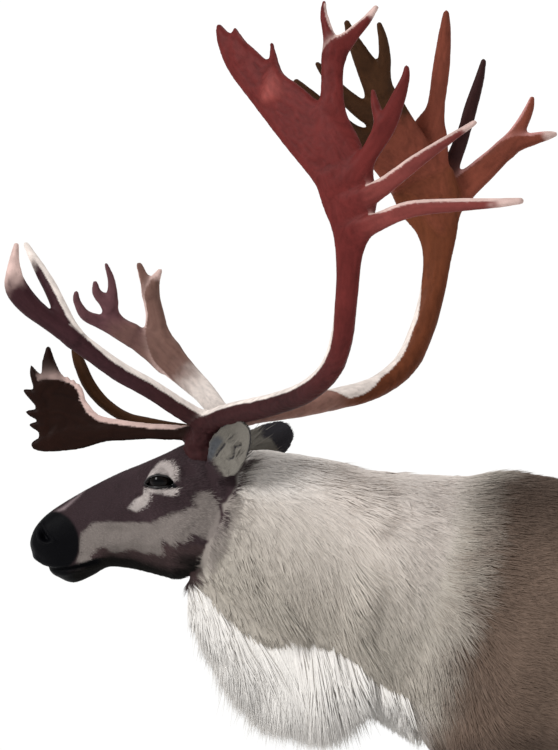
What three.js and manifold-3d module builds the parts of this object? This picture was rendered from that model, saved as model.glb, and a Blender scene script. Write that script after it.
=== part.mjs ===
// A standing bull reindeer at life size, in millimetres, with +Z up and the head towards -X.
// Every shape starts as a loft through hand-set stations; the flesh is joined and then parted by thin cuts.
import * as THREE from 'three';
import Module from 'manifold-3d';

const wasm = await Module();
wasm.setup();

// Driving sizes
const GAP = 0.3;
const WELD_GROW = 0.35;
const BODY_SIDES = 20;
const HEAD_SIDES = 20;
const LEG_SIDES = 10;
const ANTLER_SIDES = 8;
const TINE_SIDES = 6;

// Eye, lid, ear and mouth sizes
const EYE_CENTRE = [-138, 65, 1221];
const EYE_RADIUS = 21;
const LID_HALF_LENGTH = 20;
const LID_HALF_HEIGHT = 13;
const LID_RADIUS = 4.5;
const EAR_LENGTH = 136;
const EAR_HALF_WIDTH = 42;
const EAR_CUP_DEPTH = 24;
const EAR_WALL = 6;
const EAR_ROOT = [-40, 75, 1240];
const LIP_RADIUS = 7;
const LIP_SINK = 4;
const MOUTH_GAP = 2.4;
const MOUTH_DEPTH = 4;
const MOUTH_LINE = [
  [-396, 1074], [-377, 1069], [-364, 1062], [-342, 1058], [-316, 1060], [-288, 1067], [-262, 1075],
];
const UPPER_LIP = [
  [-384, 1078], [-378, 1075], [-362, 1068], [-342, 1065], [-316, 1067], [-288, 1074], [-262, 1082],
];
const LOWER_LIP = [[-359, 1054], [-350, 1052], [-336, 1050], [-314, 1052], [-287, 1060], [-263, 1070]];
const NOSTRIL_PLACE = [-373, 1122];
const NOSTRIL_HALF = [17, 10, 7];

// Hoof sizes
const HOOF_LENGTH = 98;
const HOOF_WIDTH = 47;
const HOOF_SPLAY = 5;
const CLAW_GAP = 5;
const CLAW_SIDES = 10;
const DEWCLAW_LENGTH = 46;
const DEWCLAW_RADIUS = 12;

// Stations of the body. Each row: x and z of the upper point, x and z of the lower point, half width,
// how far down the widest level lies, squareness above it and below it, and the lateral offset.
const HEAD_ROWS = [
  [34, 1278, -62, 1052, 80, 0.45, 2.1, 2.0],
  [-12, 1290, -98, 1042, 85, 0.42, 2.2, 1.9],
  [-58, 1297, -126, 1038, 86, 0.38, 2.3, 1.8],
  [-102, 1290, -152, 1044, 86, 0.34, 2.4, 1.7],
  [-142, 1272, -186, 1052, 80, 0.32, 2.3, 1.6],
  [-184, 1254, -220, 1058, 71, 0.34, 2.2, 1.7],
  [-224, 1238, -252, 1058, 64, 0.38, 2.1, 1.9],
  [-262, 1220, -282, 1042, 57, 0.42, 2.1, 2.1],
  [-300, 1200, -312, 1030, 54, 0.46, 2.2, 2.2],
  [-334, 1180, -334, 1036, 53, 0.5, 2.3, 2.2],
  [-362, 1161, -358, 1054, 49, 0.52, 2.3, 2.2],
  [-381, 1141, -376, 1066, 40, 0.52, 2.2, 2.1],
  [-390, 1124, -386, 1079, 26, 0.5, 2.0, 2.0],
  [-394, 1110, -393, 1095, 9, 0.5, 2.0, 2.0],
];
const NECK_ROWS = [
  [-8, 1288, -92, 1046, 84, 0.45, 2.1, 2.0],
  [36, 1292, -66, 1018, 92, 0.46, 2.1, 2.0],
  [92, 1282, -18, 984, 101, 0.48, 2.1, 2.0],
  [156, 1270, 42, 946, 112, 0.5, 2.1, 2.0],
  [226, 1254, 112, 910, 126, 0.5, 2.1, 2.0],
  [296, 1246, 184, 868, 142, 0.5, 2.1, 2.0],
  [360, 1246, 256, 808, 158, 0.5, 2.1, 2.0],
  [432, 1222, 356, 764, 152, 0.5, 2.1, 2.0],
];
const TORSO_ROWS = [
  [372, 1234, 312, 762, 146, 0.52, 2.0, 2.0],
  [412, 1248, 352, 724, 168, 0.53, 2.0, 2.0],
  [470, 1258, 420, 690, 190, 0.54, 1.9, 2.1],
  [560, 1248, 520, 668, 208, 0.55, 1.9, 2.2],
  [670, 1226, 640, 662, 220, 0.56, 2.0, 2.3],
  [790, 1210, 780, 664, 227, 0.56, 2.1, 2.3],
  [910, 1206, 910, 672, 230, 0.55, 2.2, 2.3],
  [1030, 1212, 1030, 686, 226, 0.53, 2.2, 2.2],
  [1130, 1216, 1140, 706, 216, 0.5, 2.2, 2.1],
  [1230, 1206, 1240, 732, 206, 0.48, 2.2, 2.0],
  [1320, 1178, 1330, 772, 186, 0.46, 2.1, 2.0],
  [1392, 1132, 1398, 826, 152, 0.46, 2.1, 2.0],
  [1438, 1072, 1440, 892, 100, 0.47, 2.0, 2.0],
  [1454, 1016, 1454, 950, 44, 0.5, 2.0, 2.0],
];
const TAIL_ROWS = [
  [1412, 1118, 1404, 1076, 18, 0.5, 2, 2],
  [1458, 1116, 1436, 1072, 28, 0.5, 2, 2],
  [1488, 1078, 1446, 1054, 35, 0.5, 2, 2],
  [1494, 1020, 1454, 1016, 34, 0.5, 2, 2],
  [1486, 962, 1460, 962, 24, 0.5, 2, 2],
  [1476, 922, 1464, 924, 9, 0.5, 2, 2],
];
const FRONT_LEG_ROWS = [
  [424, 960, 570, 950, 46, 0.5, 2, 2, 74],
  [398, 880, 592, 872, 60, 0.5, 2, 2, 98],
  [394, 800, 586, 808, 62, 0.5, 2, 2, 112],
  [410, 724, 564, 738, 58, 0.5, 2, 2, 124],
  [426, 650, 540, 650, 50, 0.5, 2, 2, 131],
  [436, 560, 514, 560, 39, 0.5, 2, 2, 130],
  [438, 480, 501, 480, 33, 0.5, 2, 2, 128],
  [433, 420, 498, 420, 34, 0.5, 2.2, 2.2, 127],
  [431, 385, 496, 385, 35, 0.5, 2.2, 2.2, 127],
  [437, 345, 489, 345, 30, 0.5, 2, 2, 127],
  [442, 300, 485, 300, 25, 0.5, 2, 2, 127],
  [444, 230, 483, 230, 22, 0.5, 2, 2, 127],
  [441, 172, 486, 172, 24, 0.5, 2, 2, 127],
  [432, 132, 493, 132, 30, 0.5, 2, 2, 127],
  [416, 96, 480, 88, 31, 0.5, 2, 2, 127],
  [398, 62, 464, 48, 34, 0.5, 2, 2, 127],
];
const HIND_LEG_ROWS = [
  [1150, 1084, 1366, 1076, 50, 0.5, 2, 2, 82],
  [1112, 980, 1424, 975, 76, 0.5, 2, 2, 108],
  [1100, 870, 1432, 880, 86, 0.5, 2, 2, 128],
  [1116, 772, 1416, 806, 78, 0.5, 2, 2, 134],
  [1150, 690, 1400, 740, 62, 0.5, 2, 2, 135],
  [1216, 622, 1402, 682, 46, 0.5, 2, 2, 134],
  [1284, 566, 1414, 630, 37, 0.5, 2, 2, 132],
  [1336, 510, 1432, 580, 33, 0.5, 2, 2, 130],
  [1362, 452, 1446, 526, 35, 0.5, 2, 2, 129],
  [1368, 400, 1432, 432, 32, 0.5, 2, 2, 128],
  [1370, 350, 1418, 360, 27, 0.5, 2, 2, 128],
  [1364, 270, 1407, 270, 24, 0.5, 2, 2, 128],
  [1356, 190, 1402, 190, 25, 0.5, 2, 2, 128],
  [1345, 138, 1407, 138, 31, 0.5, 2, 2, 128],
  [1329, 98, 1394, 90, 32, 0.5, 2, 2, 128],
  [1310, 62, 1378, 48, 35, 0.5, 2, 2, 128],
];
// Where each foot stands, as a shift of the leg's lower end along x, and how much of it each row takes
const STEP = { front_left: -34, front_right: 46, hind_left: 44, hind_right: -52 };
const STEP_TOP = 900;

// The throat mane's core, which reaches half way to the tips of its locks
const MANE_ROWS = [
  [-70, 1092, -108, 1024, 26, 0.5, 2, 2],
  [-24, 1070, -54, 946, 38, 0.5, 2, 2],
  [34, 1050, 14, 870, 42, 0.5, 2, 2],
  [104, 1010, 96, 832, 44, 0.5, 2, 2],
  [170, 970, 166, 814, 44, 0.5, 2, 2],
  [236, 940, 226, 830, 40, 0.5, 2, 2],
  [290, 910, 280, 842, 30, 0.5, 2, 2],
];
// Where the mane's tips end, as x and z in the side view, from the throat to the chest
const MANE_TIPS = [
  [-116, 1000], [-84, 925], [-50, 858], [-10, 800], [42, 764], [104, 746], [150, 741], [190, 776], [236, 838],
  [290, 812],
];
// Rows of mane locks: share of the drop where they start, lock length as a share of the drop, lock count
const MANE_TIERS = [
  { start: -0.24, length: 0.92, count: 8, spread: 15 },
  { start: 0.26, length: 0.74, count: 9, spread: 7 },
];
const MANE_FROM = -66;
const MANE_TO = 240;
// Ruff locks lie along the sides of the neck in tiers; places are rows of the neck and degrees from its crest
const RUFF_TIERS = [0.7, 2.15, 3.6];
const RUFF_FROM = 22;
const RUFF_TO = 132;
const RUFF_PER_SIDE = 5;
const RUFF_SWEEP = 2.5;
const RUFF_FALL = 22;
const RUFF_WIDTH = 64;
const LOCK_WIDTH = 50;
const LOCK_THICKNESS = 13;
const LOCK_SINK = 9;
const LOCK_STEPS = [0, 0.4, 0.74, 1];
const LOCK_TAPER = [0.85, 1, 0.72, 0.1];
const LOCK_SEED = 11;

// Cutting planes, each as two points in the side view
const HEAD_CUT = [8, 1330, -112, 1000];
const SHOULDER_CUT = [402, 1300, 262, 600];
const FRONT_LEG_CUT = [380, 652, 580, 652];
const KNEE_CUT = [400, 392, 530, 392];
const HIND_LEG_CUT = [1120, 652, 1460, 652];
const HOCK_CUT = [1330, 424, 1480, 556];

// Antler branches. Each point: x, y outwards, z, half width in the antler's own flat plane.
const ANTLER_THICKNESS = { beam: 20, palm: 13, tine: 9, blade: 6 };
const LEFT_STEM = [
  [-66, 50, 1268, 30], [-66, 52, 1284, 31], [-64, 60, 1300, 23], [-50, 74, 1325, 21], [5, 118, 1345, 21],
  [90, 180, 1365, 20], [165, 245, 1390, 20], [220, 298, 1430, 20], [250, 338, 1485, 20], [264, 360, 1560, 20],
  [271, 371, 1635, 24], [276, 373, 1690, 38], [271, 368, 1735, 50], [258, 358, 1785, 50],
];
const LEFT_TOP = [
  [268, 362, 1765, 40], [250, 346, 1830, 36], [234, 330, 1885, 24], [227, 306, 1950, 20],
  [230, 290, 1992, 22], [256, 286, 2022, 14], [282, 287, 2048, 9], [303, 290, 2074, 5],
];
const LEFT_TOP_FORK = [
  [226, 290, 1992, 17], [214, 276, 2028, 10], [203, 260, 2060, 7], [200, 246, 2082, 4],
];
const LEFT_FRONT = [
  [268, 362, 1765, 46], [217, 344, 1826, 50], [155, 313, 1888, 47], [98, 282, 1936, 37],
  [48, 253, 1984, 30], [20, 235, 2012, 17], [4, 220, 2038, 6],
];
const LEFT_FRONT_FORK = [[56, 254, 1980, 16], [44, 240, 2012, 9], [35, 228, 2034, 4]];
const LEFT_FRONT_TINE = [
  [122, 296, 1916, 22], [119, 286, 1945, 15], [114, 270, 1978, 8], [107, 254, 2008, 4],
];
const LEFT_INNER = [
  [272, 364, 1762, 20], [300, 367, 1805, 16], [338, 374, 1866, 18], [362, 378, 1918, 13],
  [374, 379, 1950, 8], [376, 378, 1968, 5],
];
const LEFT_INNER_FORK = [[332, 372, 1862, 12], [318, 362, 1898, 8], [310, 351, 1926, 4]];
const LEFT_BACK_HIGH = [
  [268, 368, 1725, 20], [325, 384, 1752, 17], [400, 399, 1805, 13], [462, 405, 1846, 8],
  [502, 402, 1872, 5],
];
const LEFT_BACK_LOW = [
  [266, 370, 1668, 22], [318, 385, 1693, 17], [386, 400, 1719, 15], [470, 407, 1727, 12],
  [540, 405, 1731, 9], [584, 398, 1735, 6],
];
const LEFT_BEZ = [
  [-44, 70, 1322, 18], [-88, 95, 1350, 18], [-143, 128, 1390, 18], [-192, 150, 1420, 18],
  [-236, 167, 1453, 18], [-280, 181, 1487, 18], [-314, 187, 1512, 17], [-348, 193, 1540, 20],
  [-373, 195, 1572, 21], [-379, 189, 1608, 12], [-377, 180, 1648, 5],
];
const LEFT_BEZ_FORK = [
  [-270, 181, 1482, 16], [-298, 172, 1534, 14], [-318, 162, 1570, 13], [-345, 148, 1611, 10],
  [-370, 134, 1648, 5],
];
const LEFT_BROW = [
  [-58, 62, 1306, 14], [-95, 50, 1308, 14], [-165, 34, 1310, 15], [-215, 26, 1311, 19],
  [-271, 18, 1316, 25], [-309, 13, 1330, 44], [-332, 11, 1342, 64], [-352, 9, 1342, 69],
  [-374, 7, 1340, 64],
];
const LEFT_BROW_POINTS = [
  [[-350, 10, 1395, 22], [-358, 6, 1430, 13], [-360, 2, 1456, 5]],
  [[-368, 9, 1385, 18], [-384, 6, 1408, 9], [-391, 3, 1424, 3]],
  [[-368, 8, 1362, 18], [-390, 8, 1374, 9], [-403, 7, 1381, 3]],
  [[-366, 8, 1336, 14], [-386, 9, 1339, 8], [-398, 9, 1342, 3]],
  [[-366, 8, 1314, 12], [-382, 9, 1317, 7], [-392, 9, 1319, 3]],
  [[-240, 22, 1306, 12], [-300, 14, 1296, 20], [-345, 10, 1290, 19], [-370, 9, 1284, 14], [-384, 8, 1282, 8]],
];
const RIGHT_STEM = [
  [-66, 50, 1268, 30], [-66, 52, 1284, 31], [-68, 62, 1302, 23], [-54, 78, 1322, 21], [-12, 122, 1337, 20],
  [54, 178, 1347, 20], [122, 234, 1361, 20], [184, 280, 1380, 20],
  [232, 318, 1420, 22], [258, 345, 1480, 23], [274, 361, 1545, 23],
  [283, 369, 1615, 27], [282, 372, 1668, 40], [270, 368, 1714, 58], [256, 360, 1756, 62],
];
const RIGHT_TOP = [
  [262, 364, 1740, 44], [266, 358, 1800, 40], [272, 351, 1846, 34], [285, 345, 1890, 17],
  [298, 330, 1960, 16], [307, 318, 2022, 12], [312, 307, 2062, 6],
];
const RIGHT_REAR = [
  [276, 370, 1715, 36], [300, 382, 1770, 18], [322, 398, 1830, 13], [339, 408, 1892, 12],
  [353, 411, 1940, 9], [361, 412, 1974, 5],
];
const RIGHT_BACK = [
  [272, 370, 1690, 36], [330, 388, 1745, 26], [376, 400, 1788, 22], [412, 406, 1820, 18],
  [452, 410, 1832, 12], [478, 410, 1838, 9], [494, 410, 1841, 5],
];
const RIGHT_BACK_FORK = [
  [404, 405, 1812, 16], [432, 408, 1858, 12], [446, 408, 1886, 9], [452, 408, 1906, 5],
];
const RIGHT_FRONT = [
  [242, 352, 1765, 54], [222, 326, 1824, 50], [208, 300, 1880, 34], [190, 276, 1928, 26],
  [167, 256, 1980, 18], [150, 238, 2022, 10], [143, 230, 2046, 5],
];
const RIGHT_FRONT_FORK = [
  [194, 276, 1925, 18], [206, 264, 1972, 12], [206, 252, 2012, 9], [201, 241, 2042, 5],
];
const RIGHT_LOW_FRONT = [
  [232, 346, 1768, 44], [190, 316, 1810, 34], [144, 282, 1836, 24], [112, 248, 1872, 18],
  [78, 222, 1912, 11], [54, 206, 1938, 6],
];
const RIGHT_LOW_FORK = [
  [204, 312, 1856, 20], [156, 278, 1890, 17], [118, 255, 1928, 12], [88, 233, 1970, 5],
];
const RIGHT_BEZ = [
  [-52, 80, 1328, 18], [-93, 112, 1371, 20], [-135, 134, 1406, 24], [-172, 148, 1440, 29],
  [-192, 155, 1476, 24], [-198, 158, 1514, 17], [-204, 156, 1550, 15], [-196, 152, 1578, 9],
  [-187, 149, 1594, 5],
];
const RIGHT_BEZ_FORK = [[-208, 154, 1556, 12], [-217, 151, 1582, 9], [-225, 146, 1605, 5]];
const RIGHT_BEZ_LOW = [
  [-172, 147, 1436, 28], [-228, 148, 1470, 21], [-262, 146, 1494, 17], [-276, 138, 1521, 14],
  [-271, 130, 1549, 10], [-272, 124, 1578, 7], [-280, 118, 1606, 4],
];
const RIGHT_BEZ_SPUR = [[-276, 134, 1530, 12], [-297, 126, 1552, 9], [-301, 120, 1572, 5]];
const RIGHT_BEZ_FRONT = [
  [-240, 147, 1478, 18], [-290, 138, 1499, 13], [-320, 128, 1513, 10], [-334, 120, 1537, 7],
  [-335, 114, 1554, 5],
];
const RIGHT_BROW = [
  [-60, 62, 1306, 12], [-110, 62, 1308, 11], [-186, 62, 1321, 10], [-230, 60, 1331, 10],
  [-268, 56, 1356, 11], [-294, 50, 1387, 12], [-308, 44, 1418, 12], [-316, 38, 1443, 10],
  [-320, 35, 1460, 6],
];

// Colours
const COAT_DARK = 0x4a3d36;
const COAT_PALE = 0xb9aca0;
const COAT_BODY = 0x7d6f64;
const COAT_LEG = 0x54473f;
const HORN_RED = 0x6e3328;
const HORN_BROWN = 0x6f422c;
const HOOF_BLACK = 0x1d1a19;
const EYE_BLACK = 0x0c0a0a;

// One closed surface from rings of points, capped by a fan at each end
function loftGeometry(rings) {
  const sides = rings[0].length;
  const positions = [];
  const faces = [];
  rings.forEach((ring) => ring.forEach((p) => positions.push(p.x, p.y, p.z)));
  for (let r = 0; r + 1 < rings.length; r += 1) {
    for (let k = 0; k < sides; k += 1) {
      const a = r * sides + k;
      const b = r * sides + (k + 1) % sides;
      faces.push(a, b, b + sides, a, b + sides, a + sides);
    }
  }
  const addCap = (ring, first, forward) => {
    const middle = ring.reduce((sum, p) => sum.add(p), new THREE.Vector3()).divideScalar(sides);
    const centre = positions.length / 3;
    positions.push(middle.x, middle.y, middle.z);
    for (let k = 0; k < sides; k += 1) {
      const a = first + k;
      const b = first + (k + 1) % sides;
      if (forward) faces.push(centre, a, b);
      else faces.push(centre, b, a);
    }
  };
  addCap(rings[0], 0, false);
  addCap(rings[rings.length - 1], (rings.length - 1) * sides, true);
  const geometry = new THREE.BufferGeometry();
  geometry.setAttribute('position', new THREE.Float32BufferAttribute(positions, 3));
  geometry.setIndex(faces);
  return geometry;
}

function signedVolume(positions, faces) {
  const [a, b, c] = [new THREE.Vector3(), new THREE.Vector3(), new THREE.Vector3()];
  let volume = 0;
  for (let k = 0; k < faces.length; k += 3) {
    a.fromArray(positions, 3 * faces[k]);
    b.fromArray(positions, 3 * faces[k + 1]);
    c.fromArray(positions, 3 * faces[k + 2]);
    volume += a.dot(b.cross(c)) / 6;
  }
  return volume;
}

// A geometry with shared vertices as a solid, turned outwards if its faces point in
function solidOf(geometry) {
  const positions = new Float32Array(geometry.attributes.position.array);
  const faces = new Uint32Array(geometry.index.array);
  if (signedVolume(positions, faces) < 0) faces.reverse();
  return new wasm.Manifold(new wasm.Mesh({ numProp: 3, vertProperties: positions, triVerts: faces }));
}

function geometryOf(solid) {
  const mesh = solid.getMesh();
  const geometry = new THREE.BufferGeometry();
  geometry.setAttribute('position', new THREE.BufferAttribute(new Float32Array(mesh.vertProperties), 3));
  geometry.setIndex(new THREE.BufferAttribute(new Uint32Array(mesh.triVerts), 1));
  return geometry;
}

// The largest closed body of a solid
function largest(solid) {
  const pieces = solid.decompose();
  return pieces.reduce((best, piece) => (piece.volume() > best.volume() ? piece : best), pieces[0]);
}

function joined(solids) {
  return solids.reduce((sum, solid) => sum.add(solid));
}

// Rows of numbers as a smooth run through all of them
function refine(rows, perSpan) {
  const result = [];
  const last = rows.length - 1;
  const blend = (a, b, c, d, t) => 0.5 * (2 * b + (c - a) * t + (2 * a - 5 * b + 4 * c - d) * t * t
    + (3 * b - a - 3 * c + d) * t * t * t);
  for (let k = 0; k < last; k += 1) {
    const [a, b, c, d] = [rows[Math.max(k - 1, 0)], rows[k], rows[k + 1], rows[Math.min(k + 2, last)]];
    for (let j = 0; j < perSpan; j += 1) {
      result.push(b.map((value, n) => blend(a[n], value, c[n], d[n], j / perSpan)));
    }
  }
  result.push(rows[last]);
  return result;
}

// One cross section of the body
function bodyRing(row, sides, grow) {
  const [xTop, zTop, xLow, zLow, half, mid, squareTop, squareLow, yMid = 0] = row;
  const top = new THREE.Vector3(xTop, yMid, zTop);
  const low = new THREE.Vector3(xLow, yMid, zLow);
  const centre = top.clone().lerp(low, mid);
  const up = top.clone().sub(low).normalize();
  const ring = [];
  for (let k = 0; k < sides; k += 1) {
    const angle = 2 * Math.PI * k / sides;
    const [c, s] = [Math.cos(angle), Math.sin(angle)];
    const power = 2 / (c >= 0 ? squareTop : squareLow);
    const reach = centre.distanceTo(c >= 0 ? top : low) + grow;
    const rise = Math.sign(c) * Math.abs(c) ** power * reach;
    const out = Math.sign(s) * Math.abs(s) ** power * (half + grow);
    ring.push(centre.clone().addScaledVector(up, rise).add(new THREE.Vector3(0, out, 0)));
  }
  return ring;
}

function bodySolid(rows, sides, perSpan, grow = 0) {
  return solidOf(loftGeometry(refine(rows, perSpan).map((row) => bodyRing(row, sides, grow))));
}

// A thin plate through two points of the side view, to part the body there
function plate(cut, reach, halfWidth, yMid = 0) {
  const [xTop, zTop, xLow, zLow] = cut;
  const box = new THREE.BoxGeometry(reach, 2 * halfWidth, GAP);
  box.rotateY(Math.atan2(zLow - zTop, xTop - xLow));
  box.translate((xTop + xLow) / 2, yMid, (zTop + zLow) / 2);
  return solidFromBox(box);
}

// Box geometry carries split corners, so its eight corners are shared first
function solidFromBox(box) {
  const source = box.attributes.position;
  const corners = [];
  const places = [];
  for (let k = 0; k < source.count; k += 1) {
    const point = new THREE.Vector3().fromBufferAttribute(source, k);
    let found = corners.findIndex((corner) => corner.distanceTo(point) < 1e-3);
    if (found < 0) found = corners.push(point) - 1;
    places.push(found);
  }
  const shared = new THREE.BufferGeometry();
  shared.setAttribute('position', new THREE.Float32BufferAttribute(corners.flatMap((p) => p.toArray()), 3));
  shared.setIndex(Array.from(box.index.array, (k) => places[k]));
  return solidOf(shared);
}

// A round or flat section of a branch, its flat side facing the antler's outer side
function branchRing(point, tangent, half, thick, sides, outward = new THREE.Vector3(0, 1, 0)) {
  const flat = outward.clone().addScaledVector(tangent, -outward.dot(tangent)).normalize();
  const across = new THREE.Vector3().crossVectors(tangent, flat);
  const ring = [];
  for (let k = 0; k < sides; k += 1) {
    const angle = 2 * Math.PI * (k + 0.5) / sides;
    const edge = across.clone().multiplyScalar(half * Math.cos(angle));
    ring.push(point.clone().add(edge).addScaledVector(flat, thick * Math.sin(angle)));
  }
  return ring;
}

// A branch along its points; side is -1 on the left and 1 on the right
function branch(points, side, thickness, options = {}) {
  const { sides = TINE_SIDES, perSpan = 1, grow = 0, from = 0, to = points.length - 1 } = options;
  const rows = refine(points.map(([x, y, z, half]) => [x, side * y, z, half]), perSpan);
  const used = rows.slice(from * perSpan, to * perSpan + 1);
  const places = used.map(([x, y, z]) => new THREE.Vector3(x, y, z));
  const rings = used.map((row, k) => {
    const before = rows[Math.max(from * perSpan + k - 1, 0)];
    const after = rows[Math.min(from * perSpan + k + 1, rows.length - 1)];
    const tangent = new THREE.Vector3(after[0] - before[0], after[1] - before[1], after[2] - before[2]);
    tangent.normalize();
    const half = Math.max(row[3], 1.5) + grow;
    const start = from > 0 && k === 0 ? GAP : 0;
    const place = places[k].clone().addScaledVector(tangent, start);
    return branchRing(place, tangent, half, Math.min(Math.max(row[3], 1.5), thickness) + grow, sides);
  });
  return solidOf(loftGeometry(rings));
}

// One ear: a leaf with a hollow front, its sections crescents from edge to edge
function ear(side, tip, facing) {
  const root = new THREE.Vector3(EAR_ROOT[0], side * EAR_ROOT[1], EAR_ROOT[2]);
  const axis = tip.clone().sub(root).normalize();
  const front = facing.clone().addScaledVector(axis, -facing.dot(axis)).normalize();
  const across = new THREE.Vector3().crossVectors(axis, front);
  const points = 6;
  const stations = [-0.12, 0.06, 0.2, 0.38, 0.56, 0.74, 0.89, 1.0];
  const rings = stations.map((t) => {
    const rounded = Math.sqrt(Math.max(1 - ((t - 0.38) / 0.66) ** 2, 0.02));
    const wide = t < 0.3 ? 0.5 + 0.5 * Math.max(t, 0) / 0.3 : rounded;
    const half = EAR_HALF_WIDTH * wide;
    const hollow = THREE.MathUtils.smoothstep(t, 0.06, 0.36) * EAR_CUP_DEPTH * wide;
    const back = EAR_CUP_DEPTH * wide * 0.9;
    const middle = root.clone().addScaledVector(axis, EAR_LENGTH * t);
    const ring = [];
    for (let k = 0; k < points; k += 1) {
      const u = -1 + 2 * k / (points - 1);
      const depth = -back * (1 - u * u) - 1.6;
      ring.push(middle.clone().addScaledVector(across, half * u).addScaledVector(front, depth));
    }
    for (let k = points - 1; k >= 0; k -= 1) {
      const u = -1 + 2 * k / (points - 1);
      const filled = EAR_WALL * (1 - u * u);
      const floor = -back * (1 - u * u) + filled + (back - hollow * 0.9) * (1 - u * u) * 0.5;
      ring.push(middle.clone().addScaledVector(across, half * u * 0.98).addScaledVector(front, floor + 1.6));
    }
    return ring;
  });
  return solidOf(loftGeometry(rings));
}

function ball(centre, radius, scale = [1, 1, 1], rows = 8, columns = 12) {
  const rings = [];
  for (let r = 1; r < rows; r += 1) {
    const polar = Math.PI * r / rows;
    const ring = [];
    for (let k = 0; k < columns; k += 1) {
      const angle = 2 * Math.PI * k / columns;
      const x = Math.sin(polar) * Math.cos(angle);
      const z = Math.sin(polar) * Math.sin(angle);
      const point = new THREE.Vector3(x * scale[0], Math.cos(polar) * scale[1], z * scale[2]);
      ring.push(point.multiplyScalar(radius).add(centre));
    }
    rings.push(ring);
  }
  return solidOf(loftGeometry(rings));
}

// A tube through points, its sections turned by one direction that it never runs along
function tube(points, radius, sides, outward, closed = false) {
  const count = points.length;
  const rings = points.map((point, k) => {
    const before = closed ? points[(k + count - 1) % count] : points[Math.max(k - 1, 0)];
    const after = closed ? points[(k + 1) % count] : points[Math.min(k + 1, count - 1)];
    const tangent = after.clone().sub(before).normalize();
    return branchRing(point, tangent, radius, radius, sides, outward);
  });
  if (!closed) return solidOf(loftGeometry(rings));
  const positions = [];
  const faces = [];
  rings.forEach((ring) => ring.forEach((p) => positions.push(p.x, p.y, p.z)));
  for (let r = 0; r < count; r += 1) {
    for (let k = 0; k < sides; k += 1) {
      const a = r * sides + k;
      const b = r * sides + (k + 1) % sides;
      const c = ((r + 1) % count) * sides + (k + 1) % sides;
      const d = ((r + 1) % count) * sides + k;
      faces.push(a, b, c, a, c, d);
    }
  }
  const geometry = new THREE.BufferGeometry();
  geometry.setAttribute('position', new THREE.Float32BufferAttribute(positions, 3));
  geometry.setIndex(faces);
  return solidOf(geometry);
}

// The lateral place of the head's surface at a point of the side view
const HEAD_SKIN = refine(HEAD_ROWS, 6).flatMap((row) => bodyRing(row, 96, 0));
function headSide(x, z) {
  let best = HEAD_SKIN[0];
  let nearest = Infinity;
  HEAD_SKIN.forEach((p) => {
    const away = (p.x - x) ** 2 + (p.z - z) ** 2;
    if (p.y >= 0 && away < nearest) {
      nearest = away;
      best = p;
    }
  });
  return best.y;
}

// A seeded draw between -1 and 1
function seededDraw(seed) {
  let state = seed;
  return () => {
    state = (state * 1664525 + 1013904223) % 4294967296;
    return state / 2147483648 - 1;
  };
}

// The row between two stations, for a place given as a row number
function rowAt(rows, place) {
  const k = Math.min(Math.floor(place), rows.length - 2);
  return rows[k].map((value, n) => value + (rows[k + 1][n] - value) * (place - k));
}

// A point of the neck's skin and the way out of it there
function neckPlace(place, degrees, side) {
  const ring = bodyRing(rowAt(NECK_ROWS, place), 360, 0);
  const at = Math.round(degrees) % 360;
  const point = ring[at].clone();
  const round = ring[at + 2].clone().sub(ring[at - 2]);
  const outward = new THREE.Vector3().crossVectors(round, new THREE.Vector3(1, 0, 0));
  if (outward.y < 0) outward.negate();
  outward.normalize();
  point.y *= side;
  outward.y *= side;
  return { point, outward };
}

// A flat tapered lock through three places, its thin way towards the given outward direction
function lock(start, middle, end, outward, width, thickness) {
  const curve = new THREE.QuadraticBezierCurve3(start, middle, end);
  const rings = LOCK_STEPS.map((t, k) => {
    const tangent = curve.getTangent(t);
    const thin = outward.clone().addScaledVector(tangent, -outward.dot(tangent)).normalize();
    const wide = new THREE.Vector3().crossVectors(tangent, thin);
    const centre = curve.getPoint(t);
    const [w, h] = [width / 2 * LOCK_TAPER[k], thickness * LOCK_TAPER[k]];
    return [[w, -h / 3], [0, h * 2 / 3], [-w, -h / 3]].map(([a, b]) => (
      centre.clone().addScaledVector(wide, a).addScaledVector(thin, b)));
  });
  return solidOf(loftGeometry(rings));
}

function ruffLocks() {
  const draw = seededDraw(LOCK_SEED);
  const locks = [];
  RUFF_TIERS.forEach((tier, row) => {
    for (let k = 0; k < RUFF_PER_SIDE; k += 1) {
      const stagger = row % 2 === 0 ? 0 : 0.5;
      const degrees = RUFF_FROM + (RUFF_TO - RUFF_FROM) * (k + stagger) / (RUFF_PER_SIDE - 0.5);
      [-1, 1].forEach((side) => {
        const [place, angle] = [tier + 0.12 * draw(), degrees + 3 * draw()];
        const root = neckPlace(place, angle, side);
        const along = neckPlace(place + RUFF_SWEEP * 0.55, angle + RUFF_FALL * 0.5, side);
        const tip = neckPlace(place + RUFF_SWEEP, angle + RUFF_FALL, side);
        const start = root.point.addScaledVector(root.outward, -LOCK_SINK);
        const middle = along.point.addScaledVector(along.outward, 21 + 3 * draw());
        const end = tip.point.addScaledVector(tip.outward, 6 + 3 * draw());
        const width = RUFF_WIDTH * (1 + 0.12 * draw());
        locks.push(lock(start, middle, end, along.outward, width, LOCK_THICKNESS));
      });
    }
  });
  return locks;
}

// The height of a line of x and z points at one x
function heightAt(line, x) {
  const k = Math.max(line.findIndex(([xNext]) => xNext > x), 1);
  const [[x0, z0], [x1, z1]] = [line[k - 1], line[k]];
  return z0 + (z1 - z0) * (x - x0) / (x1 - x0);
}

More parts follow.
